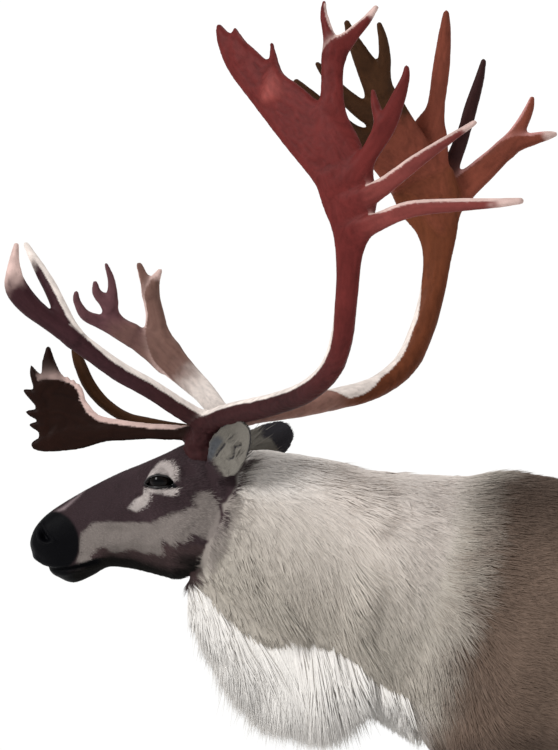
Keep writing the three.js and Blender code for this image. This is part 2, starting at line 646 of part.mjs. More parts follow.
function maneLocks() {
  const draw = seededDraw(LOCK_SEED + 1);
  const underside = NECK_ROWS.map(([, , x, z]) => [x, z]);
  const locks = [];
  MANE_TIERS.forEach(({ start, length, count, spread }, tier) => {
    for (let k = 0; k < count; k += 1) {
      [-1, 1].forEach((side) => {
        const stagger = (tier % 2) * 0.5 + (side > 0 ? 0.25 : 0);
        const x = MANE_FROM + (MANE_TO - MANE_FROM) * (k + stagger) / (count - 0.25);
        const drop = Math.max(heightAt(underside, x) - heightAt(MANE_TIPS, x), 40);
        const top = heightAt(underside, x) - drop * start;
        const reach = drop * length * (1 + 0.07 * draw());
        const y = coreSide(x, top);
        const outward = new THREE.Vector3(0, side, 0.15).normalize();
        const root = new THREE.Vector3(x, side * Math.max(y - LOCK_SINK, 2), top + 12);
        const middle = new THREE.Vector3(x + 4 * draw(), side * (y + spread), top - reach * 0.45);
        const low = side * Math.max(y * 0.55, 4) + 4 * draw();
        const tip = new THREE.Vector3(x + 14 + 10 * draw(), low, top - reach);
        locks.push(lock(root, middle, tip, outward, LOCK_WIDTH * (1 + 0.12 * draw()), LOCK_THICKNESS));
      });
    }
  });
  return locks;
}

// The lateral place of the neck's and the mane core's surface at a point of the side view
const CORE_ROWS = [...refine(NECK_ROWS, 4), ...refine(MANE_ROWS, 4)];
const CORE_SKIN = CORE_ROWS.flatMap((row) => bodyRing(row, 48, 0));
function coreSide(x, z) {
  const near = CORE_SKIN.filter((p) => p.y >= 0 && Math.abs(p.x - x) < 14 && Math.abs(p.z - z) < 14);
  return near.reduce((widest, p) => Math.max(widest, p.y), 0);
}

function neck() {
  const cores = [bodySolid(NECK_ROWS, BODY_SIDES, 1), bodySolid(MANE_ROWS, 12, 1)];
  return joined([...cores, ...ruffLocks(), ...maneLocks()]);
}

function eyeCentre(side) {
  return new THREE.Vector3(EYE_CENTRE[0], side * EYE_CENTRE[1], EYE_CENTRE[2]);
}

// Upper and lower lid as one ridge round the opening
function lids(side) {
  const steps = 10;
  const reach = EYE_RADIUS + 1;
  const tilt = THREE.MathUtils.degToRad(14);
  const points = [];
  for (let k = 0; k < steps; k += 1) {
    const angle = 2 * Math.PI * k / steps;
    const [a, b] = [LID_HALF_LENGTH * Math.cos(angle), LID_HALF_HEIGHT * Math.sin(angle)];
    const along = a * Math.cos(tilt) - b * Math.sin(tilt);
    const rise = a * Math.sin(tilt) + b * Math.cos(tilt);
    const out = Math.sqrt(Math.max(reach * reach - a * a - b * b, 0));
    points.push(new THREE.Vector3(along, side * out, rise).add(eyeCentre(side)));
  }
  return tube(points, LID_RADIUS, 4, new THREE.Vector3(0, 1, 0), true);
}

// A lip runs from one corner of the mouth round the front, at the first point, to the other corner
function lipTrack(line) {
  const [[xFront, zFront], ...rest] = line;
  const along = (side) => rest.map(([x, z]) => (
    new THREE.Vector3(x, side * Math.max(headSide(x, z) - LIP_SINK, 8), z)));
  return [...along(-1).reverse(), new THREE.Vector3(xFront, 0, zFront), ...along(1)];
}

function mouthSlit() {
  const rings = MOUTH_LINE.map(([x, z]) => [
    new THREE.Vector3(x, -80, z - MOUTH_GAP / 2),
    new THREE.Vector3(x, 80, z - MOUTH_GAP / 2),
    new THREE.Vector3(x, 80, z + MOUTH_GAP / 2),
    new THREE.Vector3(x, -80, z + MOUTH_GAP / 2),
  ]);
  return solidOf(loftGeometry(rings)).subtract(bodySolid(HEAD_ROWS, HEAD_SIDES, 1, -MOUTH_DEPTH));
}

function nostril(side) {
  const [x, z] = NOSTRIL_PLACE;
  const hollow = ball(new THREE.Vector3(0, 0, 0), 1, NOSTRIL_HALF, 6, 8);
  return hollow.rotate([0, 40, side * 30]).translate([x, side * (headSide(x, z) - 1), z]);
}

function head() {
  const raised = [bodySolid(HEAD_ROWS, HEAD_SIDES, 2), lids(-1), lids(1)];
  const upright = new THREE.Vector3(0, 0, 1);
  raised.push(tube(lipTrack(UPPER_LIP), LIP_RADIUS, 5, upright));
  raised.push(tube(lipTrack(LOWER_LIP), LIP_RADIUS, 5, upright));
  const cuts = [mouthSlit(), nostril(-1), nostril(1)];
  cuts.push(ball(eyeCentre(-1), EYE_RADIUS + GAP), ball(eyeCentre(1), EYE_RADIUS + GAP));
  return cuts.reduce((solid, cut) => solid.subtract(cut), joined(raised));
}

// A leg's rows on its own side, its foot stepped forward or back
function legRows(rows, side, step) {
  return rows.map(([xTop, zTop, xLow, zLow, half, mid, squareTop, squareLow, yMid]) => {
    const share = THREE.MathUtils.clamp((STEP_TOP - (zTop + zLow) / 2) / STEP_TOP, 0, 1);
    const eased = share * step;
    return [xTop + eased, zTop, xLow + eased, zLow, half, mid, squareTop, squareLow, side * yMid];
  });
}

// One claw of a hoof, from the floor up into the pastern
function claw(coronet, lateral) {
  const [xTop, , xLow, , , , , , yMid] = coronet;
  const middle = (CLAW_GAP + HOOF_WIDTH) / 2;
  const levels = [[0, 1, 0], [12, 0.99, 1], [38, 0.84, 12], [62, 0.66, 26]];
  const rings = levels.map(([z, scale, back]) => {
    const ring = [];
    for (let k = 0; k < CLAW_SIDES; k += 1) {
      const angle = 2 * Math.PI * (k + 0.5) / CLAW_SIDES;
      const along = -Math.cos(angle);
      const round = Math.sin(angle) * (lateral * Math.sin(angle) > 0 ? 1 : 0.72);
      const slim = along < 0 ? 1 - 0.35 * along * along : 1;
      const x = (xTop + xLow) / 2 - 24 + back + HOOF_LENGTH / 2 * along * scale;
      const offset = middle + (HOOF_SPLAY * -along);
      const y = lateral * offset * (0.25 * scale + 0.75) + HOOF_WIDTH / 2 * round * slim * scale;
      ring.push(new THREE.Vector3(x, y, z));
    }
    return ring;
  });
  return solidOf(loftGeometry(rings)).translate([0, yMid, 0]);
}

// The pair of small claws behind the pastern
function dewclaw(fetlock, rows, lateral) {
  const [, , xLow, zLow, half, , , , yMid] = fetlock;
  const start = new THREE.Vector3(xLow - 12, yMid + lateral * half * 0.55, zLow + 4);
  const tip = new THREE.Vector3(xLow + 12, yMid + lateral * (half * 0.75), zLow - DEWCLAW_LENGTH);
  const steps = [0, 0.4, 0.75, 1];
  const radii = [0.75, 1, 0.85, 0.3];
  const tangent = tip.clone().sub(start).normalize();
  const rings = steps.map((t, k) => branchRing(start.clone().lerp(tip, t), tangent,
    DEWCLAW_RADIUS * radii[k], DEWCLAW_RADIUS * radii[k], 5));
  return largest(solidOf(loftGeometry(rings)).subtract(bodySolid(rows, LEG_SIDES, 1, WELD_GROW)));
}

const LEGS = ['front_left', 'front_right', 'hind_left', 'hind_right'].map((name) => {
  const front = name.startsWith('front');
  const side = name.endsWith('left') ? -1 : 1;
  const rows = legRows(front ? FRONT_LEG_ROWS : HIND_LEG_ROWS, side, STEP[name]);
  return { name, front, rows };
});

// All flesh as one solid, then parted by thin plates
function partedFlesh() {
  const solids = [head(), neck(), bodySolid(TORSO_ROWS, BODY_SIDES, 1)];
  const plates = [plate(HEAD_CUT, 560, 200), plate(SHOULDER_CUT, 900, 320)];
  LEGS.forEach(({ front, rows }) => {
    const coronet = rows[rows.length - 1];
    solids.push(bodySolid(rows, LEG_SIDES, 1));
    solids.push(claw(coronet, -1), claw(coronet, 1));
    const upper = front ? FRONT_LEG_CUT : HIND_LEG_CUT;
    const joint = front ? KNEE_CUT : HOCK_CUT;
    plates.push(plate(upper, 420, 110, coronet[8]));
    plates.push(plate(joint, 260, 80, coronet[8]));
    plates.push(plate(coronet, 200, 90, coronet[8]));
  });
  return plates.reduce((solid, cut) => solid.subtract(cut), joined(solids)).decompose();
}

// The piece of the parted flesh that holds a point
function pieceAt(pieces, x, y, z) {
  const probe = ball(new THREE.Vector3(x, y, z), 4, [1, 1, 1], 4, 5);
  const found = pieces.filter((piece) => !piece.intersect(probe).isEmpty());
  return found.reduce((best, piece) => (piece.volume() > best.volume() ? piece : best), found[0]);
}

function horn(color) {
  return new THREE.MeshStandardMaterial({ color, roughness: 0.55, metalness: 0 });
}

function coat(color) {
  return new THREE.MeshStandardMaterial({ color, roughness: 0.95, metalness: 0 });
}

const reindeer = new THREE.Group();

function addNode(name, solid, material) {
  const mesh = new THREE.Mesh(geometryOf(largest(solid)), material);
  mesh.name = name;
  reindeer.add(mesh);
  return mesh;
}

function addFlesh() {
  const pieces = partedFlesh();
  addNode('head', pieceAt(pieces, -200, 0, 1150), coat(COAT_DARK));
  addNode('neck', pieceAt(pieces, 150, 0, 1120), coat(COAT_PALE));
  addNode('torso', pieceAt(pieces, 900, 0, 950), coat(COAT_BODY));
  LEGS.forEach(({ name, front, rows }) => {
    const [upper, lower] = front ? [rows[5], rows[11]] : [rows[6], rows[11]];
    const centre = (row) => [(row[0] + row[2]) / 2, row[8], (row[1] + row[3]) / 2];
    addNode(`leg_${name}_upper`, pieceAt(pieces, ...centre(upper)), coat(COAT_LEG));
    addNode(`leg_${name}_lower`, pieceAt(pieces, ...centre(lower)), coat(COAT_LEG));
    const coronet = rows[rows.length - 1];
    const hoofX = (coronet[0] + coronet[2]) / 2 - 24;
    [-1, 1].forEach((lateral) => {
      const place = lateral * coronet[8] > 0 ? 'outer' : 'inner';
      const y = coronet[8] + lateral * (CLAW_GAP + HOOF_WIDTH) / 2;
      addNode(`hoof_${name}_${place}`, pieceAt(pieces, hoofX, y, 12), horn(HOOF_BLACK));
      addNode(`dewclaw_${name}_${place}`, dewclaw(rows[rows.length - 3], rows, lateral), horn(HOOF_BLACK));
    });
  });
  const body = bodySolid(TORSO_ROWS, BODY_SIDES, 1, WELD_GROW);
  addNode('tail', bodySolid(TAIL_ROWS, LEG_SIDES, 1).subtract(body), coat(COAT_PALE));
}

function addHeadParts() {
  const throat = bodySolid(NECK_ROWS, BODY_SIDES, 1, WELD_GROW);
  const skull = bodySolid(HEAD_ROWS, HEAD_SIDES, 2, WELD_GROW).add(throat);
  const leftEar = ear(-1, new THREE.Vector3(34, -148, 1322), new THREE.Vector3(-0.35, -0.9, -0.1));
  const rightEar = ear(1, new THREE.Vector3(62, 146, 1313), new THREE.Vector3(-0.5, 0.8, 0));
  const stem = (points, side) => branch(points, side, ANTLER_THICKNESS.beam,
    { sides: ANTLER_SIDES, grow: WELD_GROW, to: 6 });
  addNode('ear_left', leftEar.subtract(skull).subtract(stem(LEFT_STEM, -1)), coat(COAT_DARK));
  addNode('ear_right', rightEar.subtract(skull).subtract(stem(RIGHT_STEM, 1)), coat(COAT_DARK));
  addNode('eye_left', ball(eyeCentre(-1), EYE_RADIUS), horn(EYE_BLACK));
  addNode('eye_right', ball(eyeCentre(1), EYE_RADIUS), horn(EYE_BLACK));
}

// Each branch is cut clear of what it grows from
function addAntler(side, name, parts, color) {
  const skull = bodySolid(HEAD_ROWS, HEAD_SIDES, 2, WELD_GROW);
  const stemPiece = (from, to, grow) => branch(parts.stem, side, ANTLER_THICKNESS.beam,
    { sides: ANTLER_SIDES, perSpan: 1, from, to, grow });
  const last = parts.stem.length - 1;
  const lengths = [[0, 5], [5, 10], [10, last]];
  const names = ['base', 'beam', 'palm'];
  const grown = lengths.map(([from, to]) => stemPiece(from, to, WELD_GROW));
  names.forEach((part, k) => {
    const solid = stemPiece(...lengths[k], 0);
    addNode(`antler_${name}_${part}`, k === 0 ? solid.subtract(skull) : solid, horn(color));
  });
  const built = [];
  Object.entries(parts.branches).forEach(([part, { lines, thick }]) => {
    const solid = joined(lines.map((line) => branch(line, side, thick)));
    const clear = grown.concat(built).reduce((rest, other) => rest.subtract(other), solid);
    addNode(`antler_${name}_${part}`, clear.subtract(skull), horn(color));
    built.push(joined(lines.map((line) => branch(line, side, thick, { grow: WELD_GROW }))));
  });
}

addFlesh();
addHeadParts();
addAntler(-1, 'left', {
  stem: LEFT_STEM,
  branches: {
    brow: { lines: [LEFT_BROW, ...LEFT_BROW_POINTS], thick: ANTLER_THICKNESS.blade },
    bez: { lines: [LEFT_BEZ, LEFT_BEZ_FORK], thick: ANTLER_THICKNESS.palm },
    front: { lines: [LEFT_FRONT, LEFT_FRONT_FORK, LEFT_FRONT_TINE], thick: ANTLER_THICKNESS.tine },
    top: { lines: [LEFT_TOP, LEFT_TOP_FORK], thick: ANTLER_THICKNESS.tine },
    inner: { lines: [LEFT_INNER, LEFT_INNER_FORK], thick: ANTLER_THICKNESS.tine },
    back_high: { lines: [LEFT_BACK_HIGH], thick: ANTLER_THICKNESS.tine },
    back_low: { lines: [LEFT_BACK_LOW], thick: ANTLER_THICKNESS.tine },
  },
}, HORN_RED);
addAntler(1, 'right', {
  stem: RIGHT_STEM,
  branches: {
    brow: { lines: [RIGHT_BROW], thick: ANTLER_THICKNESS.tine },
    bez: { lines: [RIGHT_BEZ, RIGHT_BEZ_FORK], thick: ANTLER_THICKNESS.palm },
    bez_low: { lines: [RIGHT_BEZ_LOW, RIGHT_BEZ_SPUR, RIGHT_BEZ_FRONT], thick: ANTLER_THICKNESS.tine },
    low_front: { lines: [RIGHT_LOW_FRONT, RIGHT_LOW_FORK], thick: ANTLER_THICKNESS.tine },
    front: { lines: [RIGHT_FRONT, RIGHT_FRONT_FORK], thick: ANTLER_THICKNESS.tine },
    top: { lines: [RIGHT_TOP], thick: ANTLER_THICKNESS.tine },
    rear: { lines: [RIGHT_REAR], thick: ANTLER_THICKNESS.tine },
    back: { lines: [RIGHT_BACK, RIGHT_BACK_FORK], thick: ANTLER_THICKNESS.tine },
  },
}, HORN_BROWN);

// The origin is on the floor under the middle of the whole animal
const box = new THREE.Box3().setFromObject(reindeer);
reindeer.position.set(-(box.min.x + box.max.x) / 2, -(box.min.y + box.max.y) / 2, -box.min.z);
reindeer.updateMatrixWorld(true);

export default reindeer;
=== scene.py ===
# The looks of a life-size standing bull reindeer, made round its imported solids.
# Frame units are metres with +Z up and the head towards -X. The shape tables are in millimetres,
# in the animal's own layout, and into_frame() brings them to the frame.
import math
from collections import namedtuple
from dataclasses import dataclass

import bpy
import numpy as np
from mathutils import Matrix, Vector
from mathutils.kdtree import KDTree


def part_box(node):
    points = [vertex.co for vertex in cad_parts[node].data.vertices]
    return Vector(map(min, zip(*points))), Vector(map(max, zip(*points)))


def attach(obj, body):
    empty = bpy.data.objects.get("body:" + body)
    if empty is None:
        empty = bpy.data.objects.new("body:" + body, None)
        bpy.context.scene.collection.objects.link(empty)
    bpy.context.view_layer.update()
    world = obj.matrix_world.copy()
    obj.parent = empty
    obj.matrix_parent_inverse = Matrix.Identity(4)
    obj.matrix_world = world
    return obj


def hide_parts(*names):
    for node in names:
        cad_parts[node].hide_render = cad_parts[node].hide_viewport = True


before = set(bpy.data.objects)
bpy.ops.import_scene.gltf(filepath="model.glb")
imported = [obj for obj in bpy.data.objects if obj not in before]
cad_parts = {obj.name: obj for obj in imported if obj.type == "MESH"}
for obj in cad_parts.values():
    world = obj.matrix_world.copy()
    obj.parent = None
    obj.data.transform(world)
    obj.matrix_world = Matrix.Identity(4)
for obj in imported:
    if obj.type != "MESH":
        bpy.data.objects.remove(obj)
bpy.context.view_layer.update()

BODY_VOXEL = 0.008
SKIN_VOXEL = 0.0027
SKIN_TRIANGLES = 164000
ANTLER_STEP = 2.8
BRANCH_STEPS = 6
TUFT_SHARE = 1.0

# Tufts: how far the shading leans round them, how deep they are rooted, how many follow one leader, and
# their tone at root and tip with the power of the change between
TUFT_ROUND = 0.6
ROOT_SINK = 1.5
LEADER_EVERY = 9
LYING_FADE = (0.84, 1.08, 1)
HANGING_FADE = (1.02, 0.76, 2)

# Seed of the tufts; each coat piece adds its own number
SEED = 20

# Camera, floor and studio light. The camera has an angle round the animal and a distance, and one pixel
# of the picture covers a length at the animal.
CAMERA_AZIMUTH = math.radians(12)
CAMERA_ELEVATION = math.radians(2)
CAMERA_DISTANCE = 20.0
CAMERA_TARGET = (66, 0, 1412)
PICTURE_HEIGHT = 750
MM_PER_PIXEL = 1.8
SENSOR = 36.0
FLOOR_RADIUS = 90.0
FLOOR_SIDES = 96
WORLD_LIGHT = 0.45
WORLD_SEEN = 1.05

# Suns: the direction each comes from, its strength, and the width of its disc in degrees
KEY_SUN = ((-0.62, -0.62, 0.62), 2.1, 20)
RIM_SUN = ((0.35, 0.42, 0.85), 1.0, 30)

# Depth of the coat, as how far the skin lies inside the solids, in millimetres; the head's grows towards
# its hind end
HEAD_DEPTH = 4
HEAD_END_DEPTH = 14
NECK_DEPTH = 10
TORSO_DEPTH = 14
LEG_DEPTH = 4
TAIL_DEPTH = 11
MANE_DEPTH = 6
EAR_DEPTH = 1.0

# Eye sizes, with the opening of the lids, their rims, the cornea's bulge, the iris and the pupil
EYE_CENTRE = (-138, 65, 1221)
EYE_RADIUS = 21
LID_HALF_LENGTH = 27
LID_UP = 13.0
LID_DOWN = 8.0
LID_THICKNESS = 3.0
LID_TILT = math.radians(2)
LID_BLEND = 2.5
LID_SINK = 7
LID_AREA = 42
RIM_RADIUS = 1.7
RIM_STATIONS = 72
RIM_SIDES = 10
CORNEA_RISE = 0.045
CORNEA_REACH = 0.55
EYE_SIDES = 64
EYE_STATIONS = 36
IRIS_HALF = (17.5, 15.5)
PUPIL_HALF = (10.5, 5.5)

# Ear sizes: root, tips, the way each hollow faces, the leaf's length, width, depth and wall, and how near
# the leaf and how far off the middle a point has to lie to belong to an ear
EAR_ROOT = (-40, 75, 1240)
EAR_TIP_LEFT = (34, -148, 1322)
EAR_TIP_RIGHT = (62, 146, 1313)
EAR_FACING_LEFT = (-0.35, -0.9, -0.1)
EAR_FACING_RIGHT = (-0.5, 0.8, 0)
EAR_LENGTH = 136
EAR_HALF_WIDTH = 42
EAR_CUP_DEPTH = 24
EAR_WALL = 6
EAR_EDGE = 1.6
EAR_START = -0.12
EAR_POINTS = 15
EAR_STATIONS = 30
EAR_NEAR = 16
EAR_INNERMOST = 70

# The mouth's line from the nose back, and the nostril's place and turn
MOUTH_LINE = [
    (-392, 1074), (-377, 1069), (-364, 1062), (-342, 1058), (-316, 1060), (-288, 1067), (-262, 1075),
]
NOSTRIL_PLACE = (-360, 1119)
NOSTRIL_TURN = math.radians(50)

# Hoof sizes
HOOF_LENGTH = 98
HOOF_WIDTH = 47
HOOF_SPLAY = 5
HOOF_FORWARD = 24
HOOF_SIDES = 44
CLAW_GAP = 5
DEWCLAW_LENGTH = 46
DEWCLAW_RADIUS = 12
DEWCLAW_SIDES = 20

# Sides round each loft, steps between the stations of the body and the head, and the least half width
HEAD_SIDES = 72
NECK_SIDES = 48
TORSO_SIDES = 56
LEG_SIDES = 32
TAIL_SIDES = 24
MANE_SIDES = 36
BODY_STEPS = 4
HEAD_STEPS = 6
THINNEST = 1.5


def centred(rows):
    """Full stations on the animal's middle plane."""
    return [(*row, 0) for row in rows]


def oval(rows):
    """Full stations with a plain oval section; a row may end with its lateral offset and squareness."""
    return [(*row[:5], 0.5, *(row[6:] or (2,)) * 2, row[5] if len(row) > 5 else 0) for row in rows]


# Stations of the body. Each row: x and z of the upper point, x and z of the lower point, half width,
# how far down the widest level lies, squareness above it and below it. Legs: the lateral offset after
# the half width.
HEAD_ROWS = centred([
    (34, 1278, -62, 1052, 80, 0.45, 2.1, 2.0),
    (-12, 1290, -98, 1042, 85, 0.42, 2.2, 1.9),
    (-58, 1297, -126, 1038, 86, 0.38, 2.3, 1.8),
    (-102, 1290, -152, 1044, 86, 0.34, 2.4, 1.7),
    (-142, 1272, -186, 1052, 80, 0.32, 2.3, 1.6),
    (-184, 1254, -220, 1058, 71, 0.34, 2.2, 1.7),
    (-224, 1238, -252, 1058, 64, 0.38, 2.1, 1.9),
    (-262, 1220, -282, 1042, 57, 0.42, 2.1, 2.1),
    (-300, 1200, -312, 1030, 54, 0.46, 2.2, 2.2),
    (-334, 1180, -334, 1036, 53, 0.5, 2.3, 2.2),
    (-362, 1161, -358, 1054, 49, 0.52, 2.3, 2.2),
    (-381, 1141, -376, 1066, 40, 0.52, 2.2, 2.1),
    (-390, 1124, -386, 1079, 26, 0.5, 2.0, 2.0),
    (-394, 1110, -393, 1095, 9, 0.5, 2.0, 2.0),
])
NECK_ROWS = centred([
    (-8, 1288, -92, 1046, 84, 0.45, 2.1, 2.0),
    (36, 1292, -66, 1018, 92, 0.46, 2.1, 2.0),
    (92, 1282, -18, 984, 101, 0.48, 2.1, 2.0),
    (156, 1270, 42, 946, 112, 0.5, 2.1, 2.0),
    (226, 1254, 112, 910, 126, 0.5, 2.1, 2.0),
    (296, 1246, 184, 868, 142, 0.5, 2.1, 2.0),
    (360, 1246, 256, 808, 158, 0.5, 2.1, 2.0),
    (432, 1222, 356, 764, 152, 0.5, 2.1, 2.0),
])
TORSO_ROWS = centred([
    (372, 1234, 312, 762, 146, 0.52, 2.0, 2.0),
    (412, 1248, 352, 724, 168, 0.53, 2.0, 2.0),
    (470, 1258, 420, 690, 190, 0.54, 1.9, 2.1),
    (560, 1248, 520, 668, 208, 0.55, 1.9, 2.2),
    (670, 1226, 640, 662, 220, 0.56, 2.0, 2.3),
    (790, 1210, 780, 664, 227, 0.56, 2.1, 2.3),
    (910, 1206, 910, 672, 230, 0.55, 2.2, 2.3),
    (1030, 1212, 1030, 686, 226, 0.53, 2.2, 2.2),
    (1130, 1216, 1140, 706, 216, 0.5, 2.2, 2.1),
    (1230, 1206, 1240, 732, 206, 0.48, 2.2, 2.0),
    (1320, 1178, 1330, 772, 186, 0.46, 2.1, 2.0),
    (1392, 1132, 1398, 826, 152, 0.46, 2.1, 2.0),
    (1438, 1072, 1440, 892, 100, 0.47, 2.0, 2.0),
    (1454, 1016, 1454, 950, 44, 0.5, 2.0, 2.0),
])
TAIL_ROWS = oval([
    (1412, 1118, 1404, 1076, 18),
    (1458, 1116, 1436, 1072, 28),
    (1488, 1078, 1446, 1054, 35),
    (1494, 1020, 1454, 1016, 34),
    (1486, 962, 1460, 962, 24),
    (1476, 922, 1464, 924, 9),
])
FRONT_LEG_ROWS = oval([
    (424, 960, 570, 950, 46, 74),
    (398, 880, 592, 872, 60, 98),
    (394, 800, 586, 808, 62, 112),
    (410, 724, 564, 738, 58, 124),
    (426, 650, 540, 650, 50, 131),
    (436, 560, 514, 560, 39, 130),
    (438, 480, 501, 480, 33, 128),
    (433, 420, 498, 420, 34, 127, 2.2),
    (431, 385, 496, 385, 35, 127, 2.2),
    (437, 345, 489, 345, 30, 127),
    (442, 300, 485, 300, 25, 127),
    (444, 230, 483, 230, 22, 127),
    (441, 172, 486, 172, 24, 127),
    (432, 132, 493, 132, 30, 127),
    (416, 96, 480, 88, 31, 127),
    (398, 62, 464, 48, 34, 127),
])
HIND_LEG_ROWS = oval([
    (1150, 1084, 1366, 1076, 50, 82),
    (1112, 980, 1424, 975, 76, 108),
    (1100, 870, 1432, 880, 86, 128),
    (1116, 772, 1416, 806, 78, 134),
    (1150, 690, 1400, 740, 62, 135),
    (1216, 622, 1402, 682, 46, 134),
    (1284, 566, 1414, 630, 37, 132),
    (1336, 510, 1432, 580, 33, 130),
    (1362, 452, 1446, 526, 35, 129),
    (1368, 400, 1432, 432, 32, 128),
    (1370, 350, 1418, 360, 27, 128),
    (1364, 270, 1407, 270, 24, 128),
    (1356, 190, 1402, 190, 25, 128),
    (1345, 138, 1407, 138, 31, 128),
    (1329, 98, 1394, 90, 32, 128),
    (1310, 62, 1378, 48, 35, 128),
])
STEP = {"front_left": -34, "front_right": 46, "hind_left": 44, "hind_right": -52}
STEP_TOP = 900

# The throat mane's core and where its tips end, from the throat to the chest
MANE_ROWS = oval([
    (-70, 1092, -108, 1024, 26),
    (-24, 1070, -54, 946, 38),
    (34, 1050, 14, 870, 42),
    (104, 1010, 96, 832, 44),
    (170, 970, 166, 814, 44),
    (236, 940, 226, 830, 40),
    (290, 910, 280, 842, 30),
])
MANE_TIPS = [
    (-116, 1000), (-84, 925), (-50, 858), (-10, 800), (42, 764), (104, 746), (150, 741), (190, 776),
    (236, 812), (300, 800), (380, 720),
]

# Planes that part head from neck and neck from torso, each as two points in the side view, and where the
# body's coat is parted into a front and a back piece
HEAD_CUT = (8, 1330, -112, 1000)
SHOULDER_CUT = (402, 1300, 262, 600)
BODY_MIDDLE = 840

# Antler branches. Each point: x, y outwards, z, half width in the antler's own flat plane
LEFT_STEM = [
    (-66, 50, 1268, 30), (-66, 52, 1284, 31), (-64, 60, 1300, 23), (-50, 74, 1325, 21), (5, 118, 1345, 21),
    (90, 180, 1365, 20), (165, 245, 1390, 20), (220, 298, 1430, 20), (250, 338, 1485, 20),
    (264, 360, 1560, 20), (271, 371, 1635, 24), (276, 373, 1690, 38), (271, 368, 1735, 50),
    (258, 358, 1785, 50),
]
LEFT_TOP = [
    (268, 362, 1765, 40), (250, 346, 1830, 36), (234, 330, 1885, 24), (227, 306, 1950, 20),
    (230, 290, 1992, 22), (256, 286, 2022, 14), (282, 287, 2048, 9), (303, 290, 2074, 5),
]
LEFT_TOP_FORK = [(226, 290, 1992, 17), (214, 276, 2028, 10), (203, 260, 2060, 7), (200, 246, 2082, 4)]
LEFT_FRONT = [
    (268, 362, 1765, 46), (217, 344, 1826, 50), (155, 313, 1888, 47), (98, 282, 1936, 37),
    (48, 253, 1984, 30), (20, 235, 2012, 17), (4, 220, 2038, 6),
]
LEFT_FRONT_FORK = [(56, 254, 1980, 16), (44, 240, 2012, 9), (35, 228, 2034, 4)]
LEFT_FRONT_TINE = [(122, 296, 1916, 22), (119, 286, 1945, 15), (114, 270, 1978, 8), (107, 254, 2008, 4)]
LEFT_INNER = [
    (272, 364, 1762, 20), (300, 367, 1805, 16), (338, 374, 1866, 18), (362, 378, 1918, 13),
    (374, 379, 1950, 8), (376, 378, 1968, 5),
]
LEFT_INNER_FORK = [(332, 372, 1862, 12), (318, 362, 1898, 8), (310, 351, 1926, 4)]
LEFT_BACK_HIGH = [
    (268, 368, 1725, 20), (325, 384, 1752, 17), (400, 399, 1805, 13), (462, 405, 1846, 8),
    (502, 402, 1872, 5),
]
LEFT_BACK_LOW = [
    (266, 370, 1668, 22), (318, 385, 1693, 17), (386, 400, 1719, 15), (470, 407, 1727, 12),
    (540, 405, 1731, 9), (584, 398, 1735, 6),
]
LEFT_BEZ = [
    (-44, 70, 1322, 18), (-88, 95, 1350, 18), (-143, 128, 1390, 18), (-192, 150, 1420, 18),
    (-236, 167, 1453, 18), (-280, 181, 1487, 18), (-314, 187, 1512, 17), (-348, 193, 1540, 20),
    (-373, 195, 1572, 21), (-379, 189, 1608, 12), (-377, 180, 1648, 5),
]
LEFT_BEZ_FORK = [
    (-270, 181, 1482, 16), (-298, 172, 1534, 14), (-318, 162, 1570, 13), (-345, 148, 1611, 10),
    (-370, 134, 1648, 5),
]
LEFT_BROW = [
    (-58, 62, 1306, 14), (-95, 50, 1308, 14), (-165, 34, 1310, 15), (-215, 26, 1311, 19),
    (-271, 18, 1316, 25), (-309, 13, 1330, 44), (-332, 11, 1342, 64), (-352, 9, 1342, 69),
    (-374, 7, 1340, 64),
]
LEFT_BROW_POINTS = [
    [(-350, 10, 1395, 22), (-358, 6, 1430, 13), (-360, 2, 1456, 5)],
    [(-368, 9, 1385, 18), (-384, 6, 1408, 9), (-391, 3, 1424, 3)],
    [(-368, 8, 1362, 18), (-390, 8, 1374, 9), (-403, 7, 1381, 3)],
    [(-366, 8, 1336, 14), (-386, 9, 1339, 8), (-398, 9, 1342, 3)],
    [(-366, 8, 1314, 12), (-382, 9, 1317, 7), (-392, 9, 1319, 3)],
    [
        (-240, 22, 1306, 12), (-300, 14, 1296, 20), (-345, 10, 1290, 19), (-370, 9, 1284, 14),
        (-384, 8, 1282, 8),
    ],
]
RIGHT_STEM = [
    (-66, 50, 1268, 30), (-66, 52, 1284, 31), (-68, 62, 1302, 23), (-54, 78, 1322, 21), (-12, 122, 1337, 20),
    (54, 178, 1347, 20), (122, 234, 1361, 20), (184, 280, 1380, 20), (232, 318, 1420, 22),
    (258, 345, 1480, 23), (274, 361, 1545, 23), (283, 369, 1615, 27), (282, 372, 1668, 40),
    (270, 368, 1714, 58), (256, 360, 1756, 62),
]
RIGHT_TOP = [
    (262, 364, 1740, 44), (266, 358, 1800, 40), (272, 351, 1846, 34), (285, 345, 1890, 17),
    (298, 330, 1960, 16), (307, 318, 2022, 12), (312, 307, 2062, 6),
]
RIGHT_REAR = [
    (276, 370, 1715, 36), (300, 382, 1770, 18), (322, 398, 1830, 13), (339, 408, 1892, 12),
    (353, 411, 1940, 9), (361, 412, 1974, 5),
]
RIGHT_BACK = [
    (272, 370, 1690, 36), (330, 388, 1745, 26), (376, 400, 1788, 22), (412, 406, 1820, 18),
    (452, 410, 1832, 12), (478, 410, 1838, 9), (494, 410, 1841, 5),
]
RIGHT_BACK_FORK = [(404, 405, 1812, 16), (432, 408, 1858, 12), (446, 408, 1886, 9), (452, 408, 1906, 5)]
RIGHT_FRONT = [
    (242, 352, 1765, 54), (222, 326, 1824, 50), (208, 300, 1880, 34), (190, 276, 1928, 26),
    (167, 256, 1980, 18), (150, 238, 2022, 10), (143, 230, 2046, 5),
]
RIGHT_FRONT_FORK = [(194, 276, 1925, 18), (206, 264, 1972, 12), (206, 252, 2012, 9), (201, 241, 2042, 5)]
